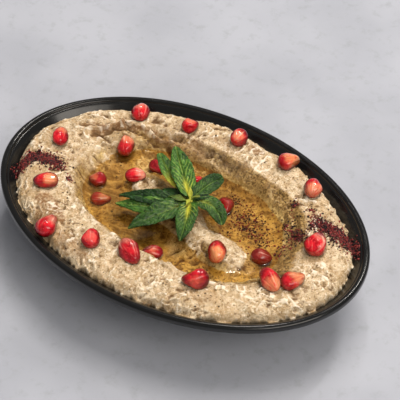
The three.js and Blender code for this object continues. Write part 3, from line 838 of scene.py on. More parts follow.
def aril_marks(unit, facing, tone, edge, number, look):
    """How pale, streaked and dark the seed's skin is, from the direction each corner faces, with
    painted shade on the side turned from the light and painted highlights on its upper side.
    """
    spot_turn, spot_height, spot_size, strength, amber, dark, oiled = look
    # Streaks run from tip to tip: they change quickly round the seed and slowly along it.
    spin = np.arctan2(unit[:, 2], unit[:, 1])
    slide = STREAK_SLIDE * unit[:, 0]
    streak, fine = (
        swell(count * np.cos(spin) + slide, count * np.sin(spin), 0.5, seed + number)
        for count, seed in (STREAKS, FINE_STREAKS)
    )
    patch = swell(2 * unit[:, 0] + unit[:, 2], 2 * unit[:, 1], SKIN_PATCH, 300 + number)
    # The pale spot has a ragged edge, and the flats keep tones of their own.
    near = facing @ way(spot_turn, spot_height) + SPOT_STREAKS * streak + SPOT_PATCHES * patch
    rim = math.cos(math.radians(spot_size + SPOT_SOFT_OUT))
    core = math.cos(math.radians(max(spot_size - SPOT_SOFT_IN, 0)))
    # Painted shade: skin that faces away from the lit side and from the top is painted a darker red,
    # and its pale spot dimmer.
    glow = np.maximum(facing @ way(*PAINTED_LIGHT_SIDE), 0.8 * facing[:, 2])
    pale = ease(rim, core, near) * (0.75 + 0.25 * fine + 0.25 * tone)
    pale = pale * (1 - 0.5 * ease(0.5, 0.1, glow))
    shade = np.minimum(1, 0.85 * ease(0.85, 0.3, glow) + 0.3 * ease(0.1, -1, tone))
    # Painted highlight: the streaks, and faint lines along the flats' edges, show only on the upper
    # faces and towards the lit side.
    thread = ease(0.45, 0.85, fine) * np.maximum(pale, 0.6 * ease(0.3, 0.7, glow))
    streaks_and_highlights = ease(-0.1, 0.5, facing[:, 2]) * np.maximum(thread, 0.3 * edge)
    return {
        "pale": strength * pale, "streak": streaks_and_highlights, "amber": amber,
        "dark": dark + (1 - dark) * shade, "oiled": oiled,
    }


def make_aril(number, material):
    x, y, turn, length, width, *look = ARILS[number - 1]
    piece = started(
        f"aril_seed_{number:02d}", bpy.ops.mesh.primitive_uv_sphere_add,
        segments=ARIL_SEGMENTS, ring_count=ARIL_RINGS, radius=1,
    )
    raw = points_of(piece) * MM
    unit = np.column_stack([raw[:, 2], raw[:, 1], -raw[:, 0]])
    reach, tone, edge = facets_of(unit, number)
    body = unit * reach[:, None]
    body = body / np.abs(body).max(axis=0)
    tip = 1 - ARIL_TAPER * np.maximum(0, unit[:, 0])
    along = body[:, 0] * length / 2 * ARIL_SWELL
    across = body[:, 1] * tip * width / 2 * ARIL_SWELL
    up = body[:, 2] * tip * width / 2 * ARIL_DEPTH * ARIL_SWELL
    level = mash_height(np.array([float(x)]), np.array([float(y)]))[0][0] + ARIL_SUNK * width
    away = np.column_stack([*placed(0, 0, along, across, turn), up])
    put_points(piece, away + [x, y, level])
    paint(piece, **aril_marks(unit, directions(away), tone, edge, number, look))
    bpy.ops.object.shade_smooth()
    finish_piece(piece, material, f"aril_{number:02d}", slot="pomegranate")


# ---- the mint ----

LEAF_ALONG, LEAF_ACROSS = 84, 36
LEAF_SEED = 500
VEINS, TEETH = 9, 11  # side veins and teeth on each half
TOOTH_DEPTH, MARGIN_SWAY = 0.075, 0.07
TOOTH_REACH, TOOTH_START = (0.7, 1), (0.06, 0.2)  # shares of the half width and of the blade
VEIN_SLANT, VEIN_CURL, VEIN_WANDER, VEIN_EDGE = 3.8, 0.9, 0.45, (0.22, 0.06)
BLADE_SPAN, PUFF_REACH = (0.02, 0.15, 0.9, 0.99), (0.04, 0.25, 0.85, 1)
PETIOLE_TAPER, USUAL_BLUNT = 0.6, 0.4
# How far the blade puffs up between its veins and sinks in, on a leaf 10 mm wide.
PUFF, RIB_SINK, CREASE_SINK, RUFFLE = 0.55, 0.2, 0.3, 0.22
RUFFLE_TURNS, CREASE_PITCH, CREASE_EDGE = 21, 1.7, (0.68, 0.95)
# How much darker the blade is at its tip, how much painted shade darkens its creases, and how much
# painted highlight lightens its puffs and its edge.
TIP_DARK, CREASE_PAINTED_SHADE, PUFF_PAINTED_LIGHT, EDGE_PAINTED_LIGHT = 0.45, 0.7, 0.75, 0.25
HEART_REACH, HEART_FULL = 15, 4  # how far the pale heart runs out from the stem
# Small new leaves at the sprig's heart, in the same order.
BUDS = (
    (35.3, (3.4, 3, 37.4), (1.4, 5.4, 37.8), 1.1, 10, 20, 0.1, 0.8, 0.2, 0.6),
    (35.2, (6, 2.2, 37.2), (7.8, 4, 37), 1, -10, 20, 0.1, 0.4, 0.3, 0.3),
    (35.3, (5.2, -0.8, 36.9), (6.2, -3.6, 36.5), 1.1, 10, 20, 0.1, 0.8, 0.2, 0.6),
    (34, (-1, 3, 36.4), (-5.2, 4.6, 35.4), 1.8, 5, 18, 0.25, 0.15, 0.6, 0),
    (34, (0, -1.2, 35.8), (-4.6, -2.6, 34.9), 1.8, 5, 18, 0.2, 0.3, 0.5, 0.2),
    (34.6, (8, 4.4, 36.4), (10.2, 7.4, 35.6), 1.8, 5, 14, 0.2, 0.05, 0.6, 0),
)


def midrib_of(leaf, u):
    """Places along a leaf's midrib, the way to its side and its normal there, and its length."""
    foot, bend, tip, _, roll, *_ = leaf
    root, bend, tip = np.array([STEM_X, STEM_Y, foot]), np.array(bend), np.array(tip)
    w = u[:, None]
    rib = (1 - w) ** 2 * root + 2 * w * (1 - w) * bend + w**2 * tip
    along = directions(2 * (1 - w) * (bend - root) + 2 * w * (tip - bend))
    side = directions(np.cross([0, 0, 1], along))
    lean = math.radians(roll)
    side = side * math.cos(lean) + np.cross(along, side) * math.sin(lean)
    return rib, side, np.cross(along, side), np.linalg.norm(bend - root) + np.linalg.norm(tip - bend)


def leaf_points(leaf, u, v):
    """Places and marks of a blade's corners: u along the midrib, v from edge to edge."""
    foot, _, _, half_width, _, fold, stalk, tone, blunt, glow = leaf
    rib, side, normal, length = midrib_of(leaf, u)
    seed = LEAF_SEED + int(10 * half_width)
    size = half_width / 5
    reach = np.abs(v)
    blade = np.maximum(0, (u - stalk) / (1 - stalk))
    on_blade = within(*BLADE_SPAN, blade)
    shift = LEAF_BLUNT * (blunt - USUAL_BLUNT)
    fullness = max(LEAF_FULLNESS - shift, LEAF_LEAST)
    bulge = np.maximum(0, np.sin(np.pi * np.minimum(blade, 1) ** (LEAF_BELLY + shift)))
    oval = bulge**fullness * (1 - LEAF_TAPER * blade)
    half = np.maximum(LEAF_PETIOLE * (1 - PETIOLE_TAPER * u), half_width * oval)
    # The margin is toothed, each tooth leaning towards the tip.
    tooth = 1 - np.mod(blade * TEETH, 1)
    margin = 1 - TOOTH_DEPTH * tooth * ease(*TOOTH_REACH, reach) * ease(*TOOTH_START, blade)
    margin = margin * (1 + MARGIN_SWAY * swell(6 * u, 3 * np.sign(v), 1, seed + 20))
    # Side veins leave the midrib slanting forward and curve up along the margin.
    wander = VEIN_WANDER * swell(6 * u, 2 * v + 3, 1, int(90 * half_width))
    run = blade * (VEINS + 1) - reach * VEIN_SLANT + VEIN_CURL * reach**2 + wander
    off_vein = np.abs(run - np.round(run))
    vein = ease(*VEIN_EDGE, off_vein) * ease(1, 0.7, reach) * on_blade
    rib_side = np.maximum(half, LEAF_PETIOLE)
    midrib = ease(LEAF_PETIOLE / rib_side, 0.15 / rib_side, reach)
    # The blade puffs up between its veins, ruffles at the margin, and is creased all over.
    puff = np.sin(np.pi * np.minimum(1, 2 * off_vein)) * within(*PUFF_REACH, reach)
    wave = LEAF_WAVE * v * np.sin(LEAF_WAVE_TURNS * u) * ease(0.1, 0.4, u)
    ruffle = RUFFLE * size * np.sin(RUFFLE_TURNS * u + 3 * np.sign(v)) * ease(0.55, 1, reach) * on_blade
    lift = math.sin(math.radians(fold)) * reach * half + wave + ruffle
    crinkle = 0.2 * swell(9 * u + 3 * v, 4 * v, 0.7, seed) + 0.16 * swell(20 * u, 9 * v, 1, seed + 1)
    crease = ease(*CREASE_EDGE, torn(blade * length, v * half_width, CREASE_PITCH, seed + 5))
    crease = crease * on_blade * ease(1.02, 0.9, reach)
    lift = lift + size * (PUFF * puff - RIB_SINK * midrib - CREASE_SINK * crease + crinkle) * on_blade
    spread = (v * half * margin * math.cos(math.radians(fold)))[:, None]
    points = rib + side * spread + normal * lift[:, None]
    # The heart glows along the midribs, and the blade darkens towards its tip; painted shade darkens
    # its creases, and painted highlight lightens its puffs and its edge.
    away = np.linalg.norm(points - [STEM_X, STEM_Y, foot], axis=1)
    near_rib = np.maximum(np.maximum(0.7 * vein, ease(0.45, 0, reach)), ease(5, 3, half_width))
    heart = ease(HEART_REACH * max(glow, 1), HEART_FULL, away) * near_rib * glow
    shade = tone * (1 - TIP_DARK * ease(0.5, 1, u)) * (0.8 + 0.2 * swell(8 * u, 3 * v, 1, seed + 2))
    shade = shade * (0.75 + PUFF_PAINTED_LIGHT * puff) * (1 - CREASE_PAINTED_SHADE * crease)
    shade = shade + EDGE_PAINTED_LIGHT * tone * ease(0.9, 1, reach)
    faded = vein * (0.55 + 0.5 * ease(0.8, 0.2, u)) * (0.75 + 0.4 * swell(9 * u, 5 * v, 1, seed + 6))
    return points, {"vein": np.maximum(faded, midrib), "tone": shade, "heart": heart}


def make_leaf(name, leaf):
    """One blade: a sheet bent along its midrib and given its thickness."""
    piece, u, v = sheet(name, LEAF_ALONG, LEAF_ACROSS)
    points, marks = leaf_points(leaf, (u + 1) / 2, v)
    put_points(piece, points)
    paint(piece, **marks)
    apply_modifier(piece, "SOLIDIFY", thickness=LEAF_THICKNESS * MM, offset=0)
    bpy.ops.object.shade_smooth()
    return piece


STEM_SIDES, STEM_CUTS = 16, 5
STEM_ROUND, STEM_CORNER = 0.86, 0.1  # its four soft corners stand out this much
KNOT, KNOT_HEIGHT, KNOT_REACH = 0.25, 34, 1.1
STEM_VEIN, STEM_TONE, STEM_PALE = 0.55, 0.8, (30, 35)


def make_stem():
    """The square stem of a mint, with soft corners and a knot where the leaves leave it."""
    tall = STEM_TOP - STEM_FOOT
    piece = started(
        "mint_stem", bpy.ops.mesh.primitive_cylinder_add,
        vertices=STEM_SIDES, radius=STEM_RADIUS * MM, depth=tall * MM,
        location=(STEM_X * MM, STEM_Y * MM, (STEM_FOOT + tall / 2) * MM),
    )
    bpy.ops.object.transform_apply(location=True, rotation=True, scale=True)
    edit("SELECT")
    bpy.ops.mesh.subdivide(number_cuts=STEM_CUTS)
    bpy.ops.object.mode_set(mode="OBJECT")
    points = points_of(piece)
    x, y = points[:, 0] - STEM_X, points[:, 1] - STEM_Y
    knot = 1 + KNOT * bell(points[:, 2] - KNOT_HEIGHT, KNOT_REACH)
    grow = knot * (STEM_ROUND + STEM_CORNER * np.cos(4 * np.arctan2(y, x)))
    points[:, 0], points[:, 1] = STEM_X + x * grow, STEM_Y + y * grow
    put_points(piece, points)
    paint(piece, vein=STEM_VEIN, tone=STEM_TONE, heart=ease(*STEM_PALE, points[:, 2]))
    bpy.ops.object.shade_smooth()
    return piece


def make_sprig():
    """Joins the leaves, the small ones at the heart and the stem to one piece."""
    parts = [make_leaf(f"leaf_{i}", leaf) for i, leaf in enumerate(LEAVES + BUDS)]
    parts.append(make_stem())
    for part in parts:
        part.select_set(True)
    sprig = bpy.context.view_layer.objects.active = parts[0]
    bpy.ops.object.join()
    sprig.name = sprig.data.name = "mint_leaves"
    finish_piece(sprig, mint_finish(), "mint_sprig", slot="mint_leaf")


# ---- grains and flecks ----

CRUMB_SHAPES, CRUMB_SEED = 5, 700
CRUMB_KNOBS, CRUMB_SIDES = (0.62, 1.15), (0.7, 1.2)  # how far its corners and its sides differ
GRAIN_FLAT, GRAIN_OUT = 0.85, 0.35  # how flat a grain is, and how far out it lies
FLECK_FLAT, FLECK_OUT = 0.6, -0.1


def rough_crumbs():
    """A few small faceted crumbs to copy: an icosahedron pushed out of shape."""
    for i in range(CRUMB_SHAPES):
        start = started("crumb", bpy.ops.mesh.primitive_ico_sphere_add, subdivisions=1, radius=1)
        rng = np.random.default_rng(CRUMB_SEED + i)
        corners = points_of(start) * MM
        knobs = rng.uniform(*CRUMB_KNOBS, (len(corners), 1))
        corners = corners * knobs * rng.uniform(*CRUMB_SIDES, 3)
        faces = np.array([list(face.vertices) for face in start.data.polygons])
        bpy.data.objects.remove(start)
        yield corners, faces


def turned_any_way(rng):
    """A turn picked evenly from all turns."""
    spin = rng.normal(size=4)
    w, x, y, z = spin / np.linalg.norm(spin)
    return np.array([
        [1 - 2 * (y * y + z * z), 2 * (x * y - z * w), 2 * (x * z + y * w)],
        [2 * (x * y + z * w), 1 - 2 * (x * x + z * z), 2 * (y * z - x * w)],
        [2 * (x * z - y * w), 2 * (y * z + x * w), 1 - 2 * (x * x + y * y)],
    ])


def scatter(name, places, sizes, flat, out, rng):
    """One mesh of many crumbs, lying on the mash or the dish wall."""
    shapes = list(rough_crumbs())
    level, _, _ = surface(places[:, 0], places[:, 1])
    level = np.maximum(level, wall_height(places[:, 0], places[:, 1]))
    corners, faces, shade = [], [], []
    total = 0
    for (x, y), z, size in zip(places, level, sizes):
        shape, sides = shapes[rng.integers(len(shapes))]
        turned = shape @ turned_any_way(rng).T * size * [1, 1, flat]
        corners.append(turned + [x, y, z + out * size])
        faces.append(sides + total)
        shade.append(np.full(len(shape), rng.random()))
        total += len(shape)
    mesh = bpy.data.meshes.new(name)
    mesh.from_pydata((np.vstack(corners) * MM).tolist(), [], np.vstack(faces).tolist())
    piece = bpy.data.objects.new(name, mesh)
    bpy.context.scene.collection.objects.link(piece)
    paint(piece, shade=np.concatenate(shade))
    return piece


# Sumac: the middle line of each pinch, how far it strews to either side, count.
SUMAC_PINCHES = (
    (((54, 23.2), (60.6, 23.4), (68.1, 22.7), (74.5, 21.4)), 2.0, 1500),
    (((-57.3, -12.3), (-61, -12), (-68.2, -13.4), (-71, -17.5), (-71.4, -24)), 1.7, 1700),
    (((48.5, 16), (51.5, 14.2), (54.5, 12.6)), 1.6, 190),
    (((54, 23.5), (73, 23)), 3.6, 260),
    (((72.5, 27), (76.6, 21)), 1.6, 160),
    (((-56.5, -12), (-71.5, -15)), 2.6, 130),
)
# Looser scatterings: middle, half length and half width, direction, count.
SUMAC_LOOSE = (
    (24.5, 16.5, 5.5, 4, 20, 120),
    (31, 9.5, 10, 3, -10, 160),
    (14, 22, 5, 3, -20, 50),
    (43.8, 19.6, 4, 3, -60, 70),
    (40.5, 29, 1.8, 2, 0, 44),
    (32, 10, 12, 9, 0, 140),
    (49, 7, 4, 5, 0, 60),
    (50, 27.5, 4, 2.5, -20, 60),
    (-48.4, -16, 2.6, 1, -45, 50),
    (-60, -8, 6, 2.5, 0, 30),
    (41, -2, 4, 1.2, 0, 22),
)
DUSTY_PINCHES, DUST_WIDTH = 3, 1.35  # how many pinches leave dust, and how much wider it lies
GRAIN_LEAST, GRAIN_MORE, GRAIN_FINE = 0.26, 0.36, 1.6  # radii, and how far most are small
SUMAC_INSET = 4.2
LOOSE_SPREAD = 0.6  # the share of a scattering's half size that most grains lie within


def sumac_dust(x, y):
    """How thickly the finest sumac stains the mash along each pinch."""
    stain = np.zeros_like(x)
    for line, spread, _ in SUMAC_PINCHES[:DUSTY_PINCHES]:
        stain = np.maximum(stain, bell(from_line(line, x, y), DUST_WIDTH * spread))
    return stain


def along_line(line, spread, count, rng):
    """Places strewn along a bent line."""
    line = np.array(line)
    steps = np.hypot(*np.diff(line, axis=0).T)
    run = np.concatenate([[0], np.cumsum(steps)])
    at = rng.uniform(0, run[-1], count)
    middle = np.column_stack([np.interp(at, run, line[:, k]) for k in (0, 1)])
    return middle + rng.normal(0, spread, (count, 2))


def make_sumac():
    rng = np.random.default_rng(5)
    places = [along_line(*pinch, rng) for pinch in SUMAC_PINCHES]
    for x, y, half_length, half_width, turn, count in SUMAC_LOOSE:
        along = rng.normal(0, half_length * LOOSE_SPREAD, count)
        across = rng.normal(0, half_width * LOOSE_SPREAD, count)
        places.append(np.column_stack(placed(x, y, along, across, turn)))
    places = np.vstack(places)
    long, short = halves(SUMAC_INSET)
    places = places[np.hypot(places[:, 0] / long, places[:, 1] / short) < 1]
    sizes = GRAIN_LEAST + GRAIN_MORE * rng.random(len(places)) ** GRAIN_FINE
    piece = scatter("sumac_grains", places, sizes, GRAIN_FLAT, GRAIN_OUT, rng)
    finish_piece(piece, sumac_finish(), "spread", slot="mash")


FLECKS = 3800  # tried; about two in five are kept, in clusters
FLECK_LEAST, FLECK_MORE, FLECK_FINE = 0.18, 0.5, 3  # radii, and how far most are small
FLECK_INSET, FLECK_CLUSTERS, FLECK_STRAY, FLECK_BAR = 8, (1, 7, 96), 0.5, 0.1


def make_flecks():
    """Char from the aubergine's skin, in small flat scraps pressed into the mash."""
    rng = np.random.default_rng(6)
    angle = rng.uniform(0, 2 * math.pi, FLECKS)
    share = np.sqrt(rng.random(FLECKS))
    x, y = on_oval(angle, FLECK_INSET, share)
    sizes = FLECK_LEAST + FLECK_MORE * rng.random(FLECKS) ** FLECK_FINE
    stray = FLECK_STRAY * rng.uniform(-1, 1, FLECKS)
    kept = swells(x, y, FLECK_CLUSTERS) + stray > FLECK_BAR
    places = np.column_stack([x[kept], y[kept]])
    piece = scatter("char_flecks", places, sizes[kept], FLECK_FLAT, FLECK_OUT, rng)
    finish_piece(piece, char_finish(), "spread", slot="mash")


# ---- finishes ----


def linear(code):
    """An sRGB hex colour as linear red, green, blue and a full alpha."""
    parts = [int(code[i : i + 2], 16) / 255 for i in (0, 2, 4)]
    return *[p / 12.92 if p <= 0.04045 else ((p + 0.055) / 1.055) ** 2.4 for p in parts], 1


def feed(tree, node, values):
    """Sets a node's inputs, or links them where the value is another node's output."""
    for key, value in values.items():
        if isinstance(value, bpy.types.NodeSocket):
            tree.links.new(value, node.inputs[key])
        else:
            node.inputs[key].default_value = linear(value) if isinstance(value, str) else value


def add_node(tree, kind, links=None, **settings):
    """Adds a node with its settings, and feeds its inputs."""
    node = tree.nodes.new(kind)
    set_all(node, settings)
    feed(tree, node, links or {})
    return node


SMOOTHLY = {"interpolation_type": "SMOOTHSTEP"}  # for nodes that map one range to another


def new_finish(name, grains=(), marks=""):
    """A material, its nodes, its shader, and the patterns that its colours follow, by name. A
    grain is noise: its name, the millimetres between its humps, its detail, its roughness and
    how far it is drawn out into wisps. A mark is a number painted on the piece."""
    material = bpy.data.materials.new(name)
    material.use_nodes = True
    tree = material.node_tree
    see = {}
    for grain, pitch, detail, rough, wisps in grains:
        place = add_node(tree, "ShaderNodeTexCoord").outputs["Object"]
        links = {"Vector": place, "Scale": 1 / (pitch * MM), "Detail": detail}
        links.update({"Roughness": rough, "Distortion": wisps})
        see[grain] = add_node(tree, "ShaderNodeTexNoise", links).outputs["Fac"]
    for mark in marks.split():
        see[mark] = add_node(tree, "ShaderNodeAttribute", attribute_name=mark).outputs["Fac"]
    return material, tree, tree.nodes["Principled BSDF"], see


def layered(tree, see, base, *layers):
    """A colour with others laid over it in turn. Each layer is the pattern that it follows, where
    that starts and is full, how much the layer then covers, and its colour. Without the three
    numbers the pattern itself is the share that is covered."""
    for pattern, *reach, colour in layers:
        share = see[pattern]
        if reach:
            links = dict(zip(("From Min", "From Max", "To Max"), reach), Value=share)
            share = add_node(tree, "ShaderNodeMapRange", links, **SMOOTHLY).outputs[0]
        links = {0: share, 6: base, 7: colour}
        base = add_node(tree, "ShaderNodeMix", links, data_type="RGBA").outputs[2]
    return base


def broken_up(tree, mark, grain, start, full):
    """A mark that shows only where a grain goes from start to full."""
    links = {"Value": grain, "From Min": start, "From Max": full}
    crumbs = add_node(tree, "ShaderNodeMapRange", links, **SMOOTHLY)
    links = {0: crumbs.outputs[0], 1: mark}
    return add_node(tree, "ShaderNodeMath", links, operation="MULTIPLY").outputs[0]


MASH_GRAINS = (
    ("curd", 3.2, 2, 0.5, 0),
    ("wisp", 2.8, 2, 0.6, 2),
    ("dash", 1.1, 2, 0.6, 1.2),
    ("cloud", 14, 2, 0.5, 0),
    ("blotch", 2.2, 3, 0.5, 1),
    ("skin", 1.6, 3, 0.65, 0),
    ("soak", 3.0, 2, 0.5, 0),
    ("pore", 0.9, 3, 0.5, 0),
    ("gilt", 4, 2, 0.5, 0),
    ("speck", 1.1, 3, 0.6, 0.8),
    ("powder", 0.9, 2, 0.5, 0),
    ("bump", 0.8, 4, 0.7, 0),
)
DRY_MASH = (
    ("curd", 0.35, 0.65, 1, "d3c0a2"),
    ("wisp", 0.5, 0.64, 0.7, "8f754c"),
    ("dash", 0.59, 0.66, 0.8, "6d5636"),
    ("dash", 0.43, 0.34, 0.6, "f4e9d6"),
    ("cloud", 0.45, 0.7, 0.35, "b39468"),
    # The brown and stain layers are browner mash, and painted shade where the brown patches paint it.
    ("brown", 0, 1, 0.5, "8a6238"),
    ("stain", 0, 1, 0.85, "7a5530"),
    # Painted shade in the fine relief's hollows, and painted highlight on its crests.
    ("crag", -0.1, -0.8, 1, "634728"),
    ("crag", 0.2, 0.7, 0.8, "f4ead8"),
    ("skin", 0.69, 0.75, 0.6, "574834"),
)
SOAKED_MASH = (
    ("soak", 0.35, 0.68, 1, "b3945c"),
    ("pore", 0.46, 0.62, 1, "624a26"),
    # Painted shade in the fine relief's hollows, and painted highlight on its crests.
    ("crag", 0, -0.7, 1, "4c3617"),
    ("crag", 0.2, 0.6, 0.6, "cdb383"),
)
GOLDEN_MASH = (
    ("gilt", 0.35, 0.65, 1, "ba9a5c"),
    ("veil", 0, 1, 0.85, "d3b878"),
    ("speck", 0.5, 0.64, 0.9, "62431d"),
    ("speck", 0.45, 0.33, 0.5, "cbb07b"),
    ("brush", 0.3, 0.65, 0.6, "6b4b20"),
    ("brush", -0.3, -0.65, 0.4, "d2b67c"),
    # Painted shade in the fine relief's hollows.
    ("crag", -0.05, -0.8, 1, "5f4017"),
)
FILMED_MASH = (("brush", -0.5, 0.45, 1, "b99b6c"), ("speck", 0.56, 0.68, 0.8, "7a5527"))


def mash_finish():
    """Aubergine pulp beaten with sesame paste: coarse, pale and moist, with threads of charred
    skin. Oil soaks it to a translucent golden brown."""
    marks = "crag wet brown gold veil deep film brush dust"
    material, tree, skin, see = new_finish("aubergine_mash", MASH_GRAINS, marks)
    # The stain follows the brown mark: browner mash, and painted shade where that mark paints it.
    see["stain"] = broken_up(tree, see["brown"], see["blotch"], 0.42, 0.58)
    see["sumac"] = broken_up(tree, see["dust"], see["powder"], 0.56, 0.42)
    dry = layered(tree, see, "baa17e", *DRY_MASH)
    soaked = layered(tree, see, "8c6d40", *SOAKED_MASH)
    golden = layered(tree, see, "94763e", *GOLDEN_MASH)
    filmed = layered(tree, see, "7d5e32", *FILMED_MASH)
    # The second layer is painted highlight on the crests of the fine relief.
    over_film = (("film", 0, 1, 0.75, filmed), ("crag", 0.2, 0.6, 0.6, "d3b57c"))
    golden = layered(tree, see, golden, *over_film, ("deep", 0, 1, 0.45, "54401c"))
    oily = layered(tree, see, soaked, ("gold", golden))
    links = {"Value": see["wet"], "To Min": 0.55, "To Max": 0.32}
    gloss = add_node(tree, "ShaderNodeMapRange", links, **SMOOTHLY)
    links = {"Height": see["bump"], "Strength": 0.6, "Distance": 0.35 * MM}
    feed(tree, skin, {
        "Base Color": layered(tree, see, dry, ("wet", oily), ("sumac", "451a1b")),
        "Roughness": gloss.outputs[0],
        "Normal": add_node(tree, "ShaderNodeBump", links).outputs[0],
        "IOR": 1.45,
        "Subsurface Weight": 0.06,
        "Subsurface Radius": (1.0, 0.55, 0.3),
        "Subsurface Scale": 0.8 * MM,
    })
    return material


def oil_finish():
    """Olive oil: it lets the mash below show through, tinted golden, under a mirror-smooth top."""
    material, tree, skin, _ = new_finish("olive_oil")
    tree.nodes.remove(skin)
    clear = add_node(tree, "ShaderNodeBsdfTransparent", {"Color": "fdf1d0"})
    mirror = add_node(tree, "ShaderNodeBsdfAnisotropic", {"Color": "ffffff", "Roughness": 0.1})
    share = add_node(tree, "ShaderNodeFresnel", {"IOR": 1.47})
    links = {0: share.outputs[0], 1: clear.outputs[0], 2: mirror.outputs[0]}
    both = add_node(tree, "ShaderNodeMixShader", links)
    feed(tree, tree.nodes["Material Output"], {"Surface": both.outputs[0]})
    return material


def dish_finish():
    """Black melamine, moulded glossy and a little dulled by washing."""
    grains = (("worn", 14, 4, 0.6, 0), ("dust", 1.6, 2, 0.5, 0))
    material, tree, skin, see = new_finish("black_melamine", grains)
    links = {"Value": see["worn"], "From Min": 0.3, "From Max": 0.7, "To Min": 0.13, "To Max": 0.26}
    gloss = add_node(tree, "ShaderNodeMapRange", links, **SMOOTHLY)
    feed(tree, skin, {
        "Base Color": layered(tree, see, "101112", ("dust", 0.73, 0.78, 0.16, "77756f")),
        "Roughness": gloss.outputs[0],
        "IOR": 1.48,
    })
    return material


# The dark layer is the seed's own deeper red together with painted shade on the side turned from the
# light.
RUBY = (("juice", 0.35, 0.65, 1, "dc1c2c"), ("spot", 0.56, 0.7, 0.7, "f2494a"), ("dark", "5e050d"))
PITH_SIDE = (("amber", "f2ab6e"), ("blush", 0.55, 0.68, 0.6, "dd4f3c"))


def aril_finish():
    """Pomegranate: a clear skin stretched over ruby juice, paler where it grew on the pith."""
    grains = (("juice", 2.6, 3, 0.5, 0), ("spot", 1.0, 2, 0.5, 0), ("blush", 1.3, 2, 0.5, 0))
    marks = "dark amber pale streak oiled"
    material, tree, skin, see = new_finish("pomegranate_aril", grains, marks)
    red = layered(tree, see, "a8081a", *RUBY)
    tip = layered(tree, see, "f4a08e", *PITH_SIDE)
    # The streak layer is pale streaks in the skin together with painted highlights.
    over_tip = (("streak", 0, 1, 0.55, "fdc6b2"), ("oiled", 0, 1, 0.8, "7a3618"))
    feed(tree, skin, {
        "Base Color": layered(tree, see, red, ("pale", tip), *over_tip),
        "Roughness": 0.15,
        "IOR": 1.4,
        "Subsurface Weight": 0.35,
        "Subsurface Radius": (1.0, 0.15, 0.1),
        "Subsurface Scale": 1.2 * MM,
        "Coat Weight": 0.5,
        "Coat Roughness": 0.05,
    })
    return material


def mint_finish():
    """Fresh mint: deep green and satin, with pale sunk veins and a yellow-green heart."""
    grains = (("mottle", 2.2, 3, 0.5, 0), ("crease", 1.3, 2, 0.5, 0.6), ("bump", 0.6, 2, 0.5, 0))
    material, tree, skin, see = new_finish("mint_leaf", grains, "tone vein heart")
    deep = layered(tree, see, "0d2210", ("mottle", 0.35, 0.7, 1, "1a3a1a"))
    bright = layered(tree, see, "3a6624", ("mottle", 0.35, 0.7, 1, "5f8c38"))
    # The crease grain paints shade along thin creases, and the tone mark carries painted shade and
    # highlight from the blade's relief.
    blade = layered(tree, see, deep, ("tone", bright), ("crease", 0.52, 0.66, 0.6, "0e230e"))
    vein = layered(tree, see, "33592a", ("tone", "b2c862"))
    over_blade = (("vein", 0, 1, 0.9, vein), ("heart", 0, 1, 0.9, "c9c544"))
    links = {"Height": see["bump"], "Strength": 0.3, "Distance": 0.15 * MM}
    feed(tree, skin, {
        "Base Color": layered(tree, see, blade, *over_blade),
        "Roughness": 0.38,
        "IOR": 1.42,
        "Normal": add_node(tree, "ShaderNodeBump", links).outputs[0],
        "Subsurface Weight": 0.15,
        "Subsurface Radius": (0.4, 1.0, 0.2),
        "Subsurface Scale": 0.6 * MM,
    })
    return material


def sumac_finish():
    """Ground sumac: dull maroon grains, some nearly black."""
    material, tree, skin, see = new_finish("ground_sumac", marks="shade")
    maroon = layered(tree, see, "13060a", ("shade", 0.2, 1, 1, "86302e"))
    feed(tree, skin, {"Base Color": maroon, "Roughness": 0.5})
    return material


def char_finish():
    """Scraps of charred aubergine skin: brown to black, a little shiny with oil."""
    material, tree, skin, see = new_finish("charred_skin", marks="shade")
    scorched = layered(tree, see, "3a2e20", ("shade", 0, 1, 1, "8a7048"))
    feed(tree, skin, {"Base Color": scorched, "Roughness": 0.45})
    return material


def floor_finish():
    """A pale plaster table, matt."""
    grains = (("cloud", 60, 3, 0.5, 0), ("worn", 7, 5, 0.7, 0))
    material, tree, skin, see = new_finish("pale_plaster", grains)
    clouded, worn = ("cloud", 0.3, 0.7, 1, "abb0bc"), ("worn", 0.5, 0.72, 0.5, "92979f")
    plaster = layered(tree, see, "9fa4b0", clouded, worn)
    feed(tree, skin, {"Base Color": plaster, "Roughness": 0.75})
    return material


# ---- the studio ----

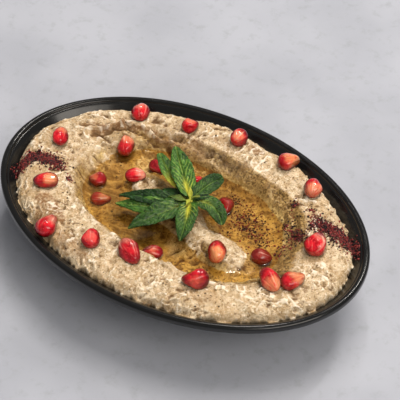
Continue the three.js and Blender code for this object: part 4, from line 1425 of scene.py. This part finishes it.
# Name, azimuth and height in degrees, distance, size, watts, tint, whether surfaces mirror it.
LAMPS = (
    ("window", 38, 72, 1.8, (0.75, 0.75), 22.5, "fff4e6", False),
    ("glint", 40, 52, 1.1, (0.045, 0.2), 2.4, "fff8f0", True),
    ("second_glint", 8, 62, 1.1, (0.04, 0.3), 1.6, "fff8f0", True),
    ("fill", 155, 68, 1.6, (1.4, 1.4), 7, "fff6ea", False),
    ("sheet", 147, 43, 1.6, (1.1, 0.7), 11, "fff6ea", True),
)
SKY_TINT, SKY_STRENGTH = "ece8e4", 0.24
FLOOR_SIDE = 4  # metres


def make_camera():
    back = Vector(way(AZIMUTH - 90, ELEVATION))
    camera = started("camera", bpy.ops.object.camera_add, location=AIM + DISTANCE * back)
    camera.rotation_euler = back.to_track_quat("Z", "Y").to_euler()
    camera.data.lens = LENS
    camera.data.sensor_width = SENSOR
    bpy.context.scene.camera = camera


def softbox(name, azimuth, height, away, size, watts, tint, mirrored):
    """A lamp that looks at the dish; azimuth 0 is behind it, as the camera sees it."""
    toward = Vector(way(AZIMUTH + 90 - azimuth, height))
    lamp = started(name, bpy.ops.object.light_add, type="AREA", location=toward * away)
    lamp.rotation_euler = toward.to_track_quat("Z", "Y").to_euler()
    lamp.visible_glossy = mirrored
    lamp.data.shape = "RECTANGLE"
    lamp.data.size, lamp.data.size_y = size
    lamp.data.energy = watts
    lamp.data.color = linear(tint)[:3]


def make_studio():
    floor = started(
        "floor", bpy.ops.mesh.primitive_plane_add, size=FLOOR_SIDE, location=(0, 0, 0)
    )
    floor.data.materials.append(floor_finish())
    for lamp in LAMPS:
        softbox(*lamp)
    world = bpy.data.worlds.new("studio")
    bpy.context.scene.world = world
    world.use_nodes = True
    sky = world.node_tree.nodes["Background"]
    feed(world.node_tree, sky, {"Color": SKY_TINT, "Strength": SKY_STRENGTH})
    bpy.context.scene.view_settings.view_transform = "Standard"


make_camera()
make_studio()
make_dish()
make_mash()
make_oil()
seed_skin = aril_finish()
for seed_number in range(1, len(ARILS) + 1):
    make_aril(seed_number, seed_skin)
make_sprig()
make_sumac()
make_flecks()
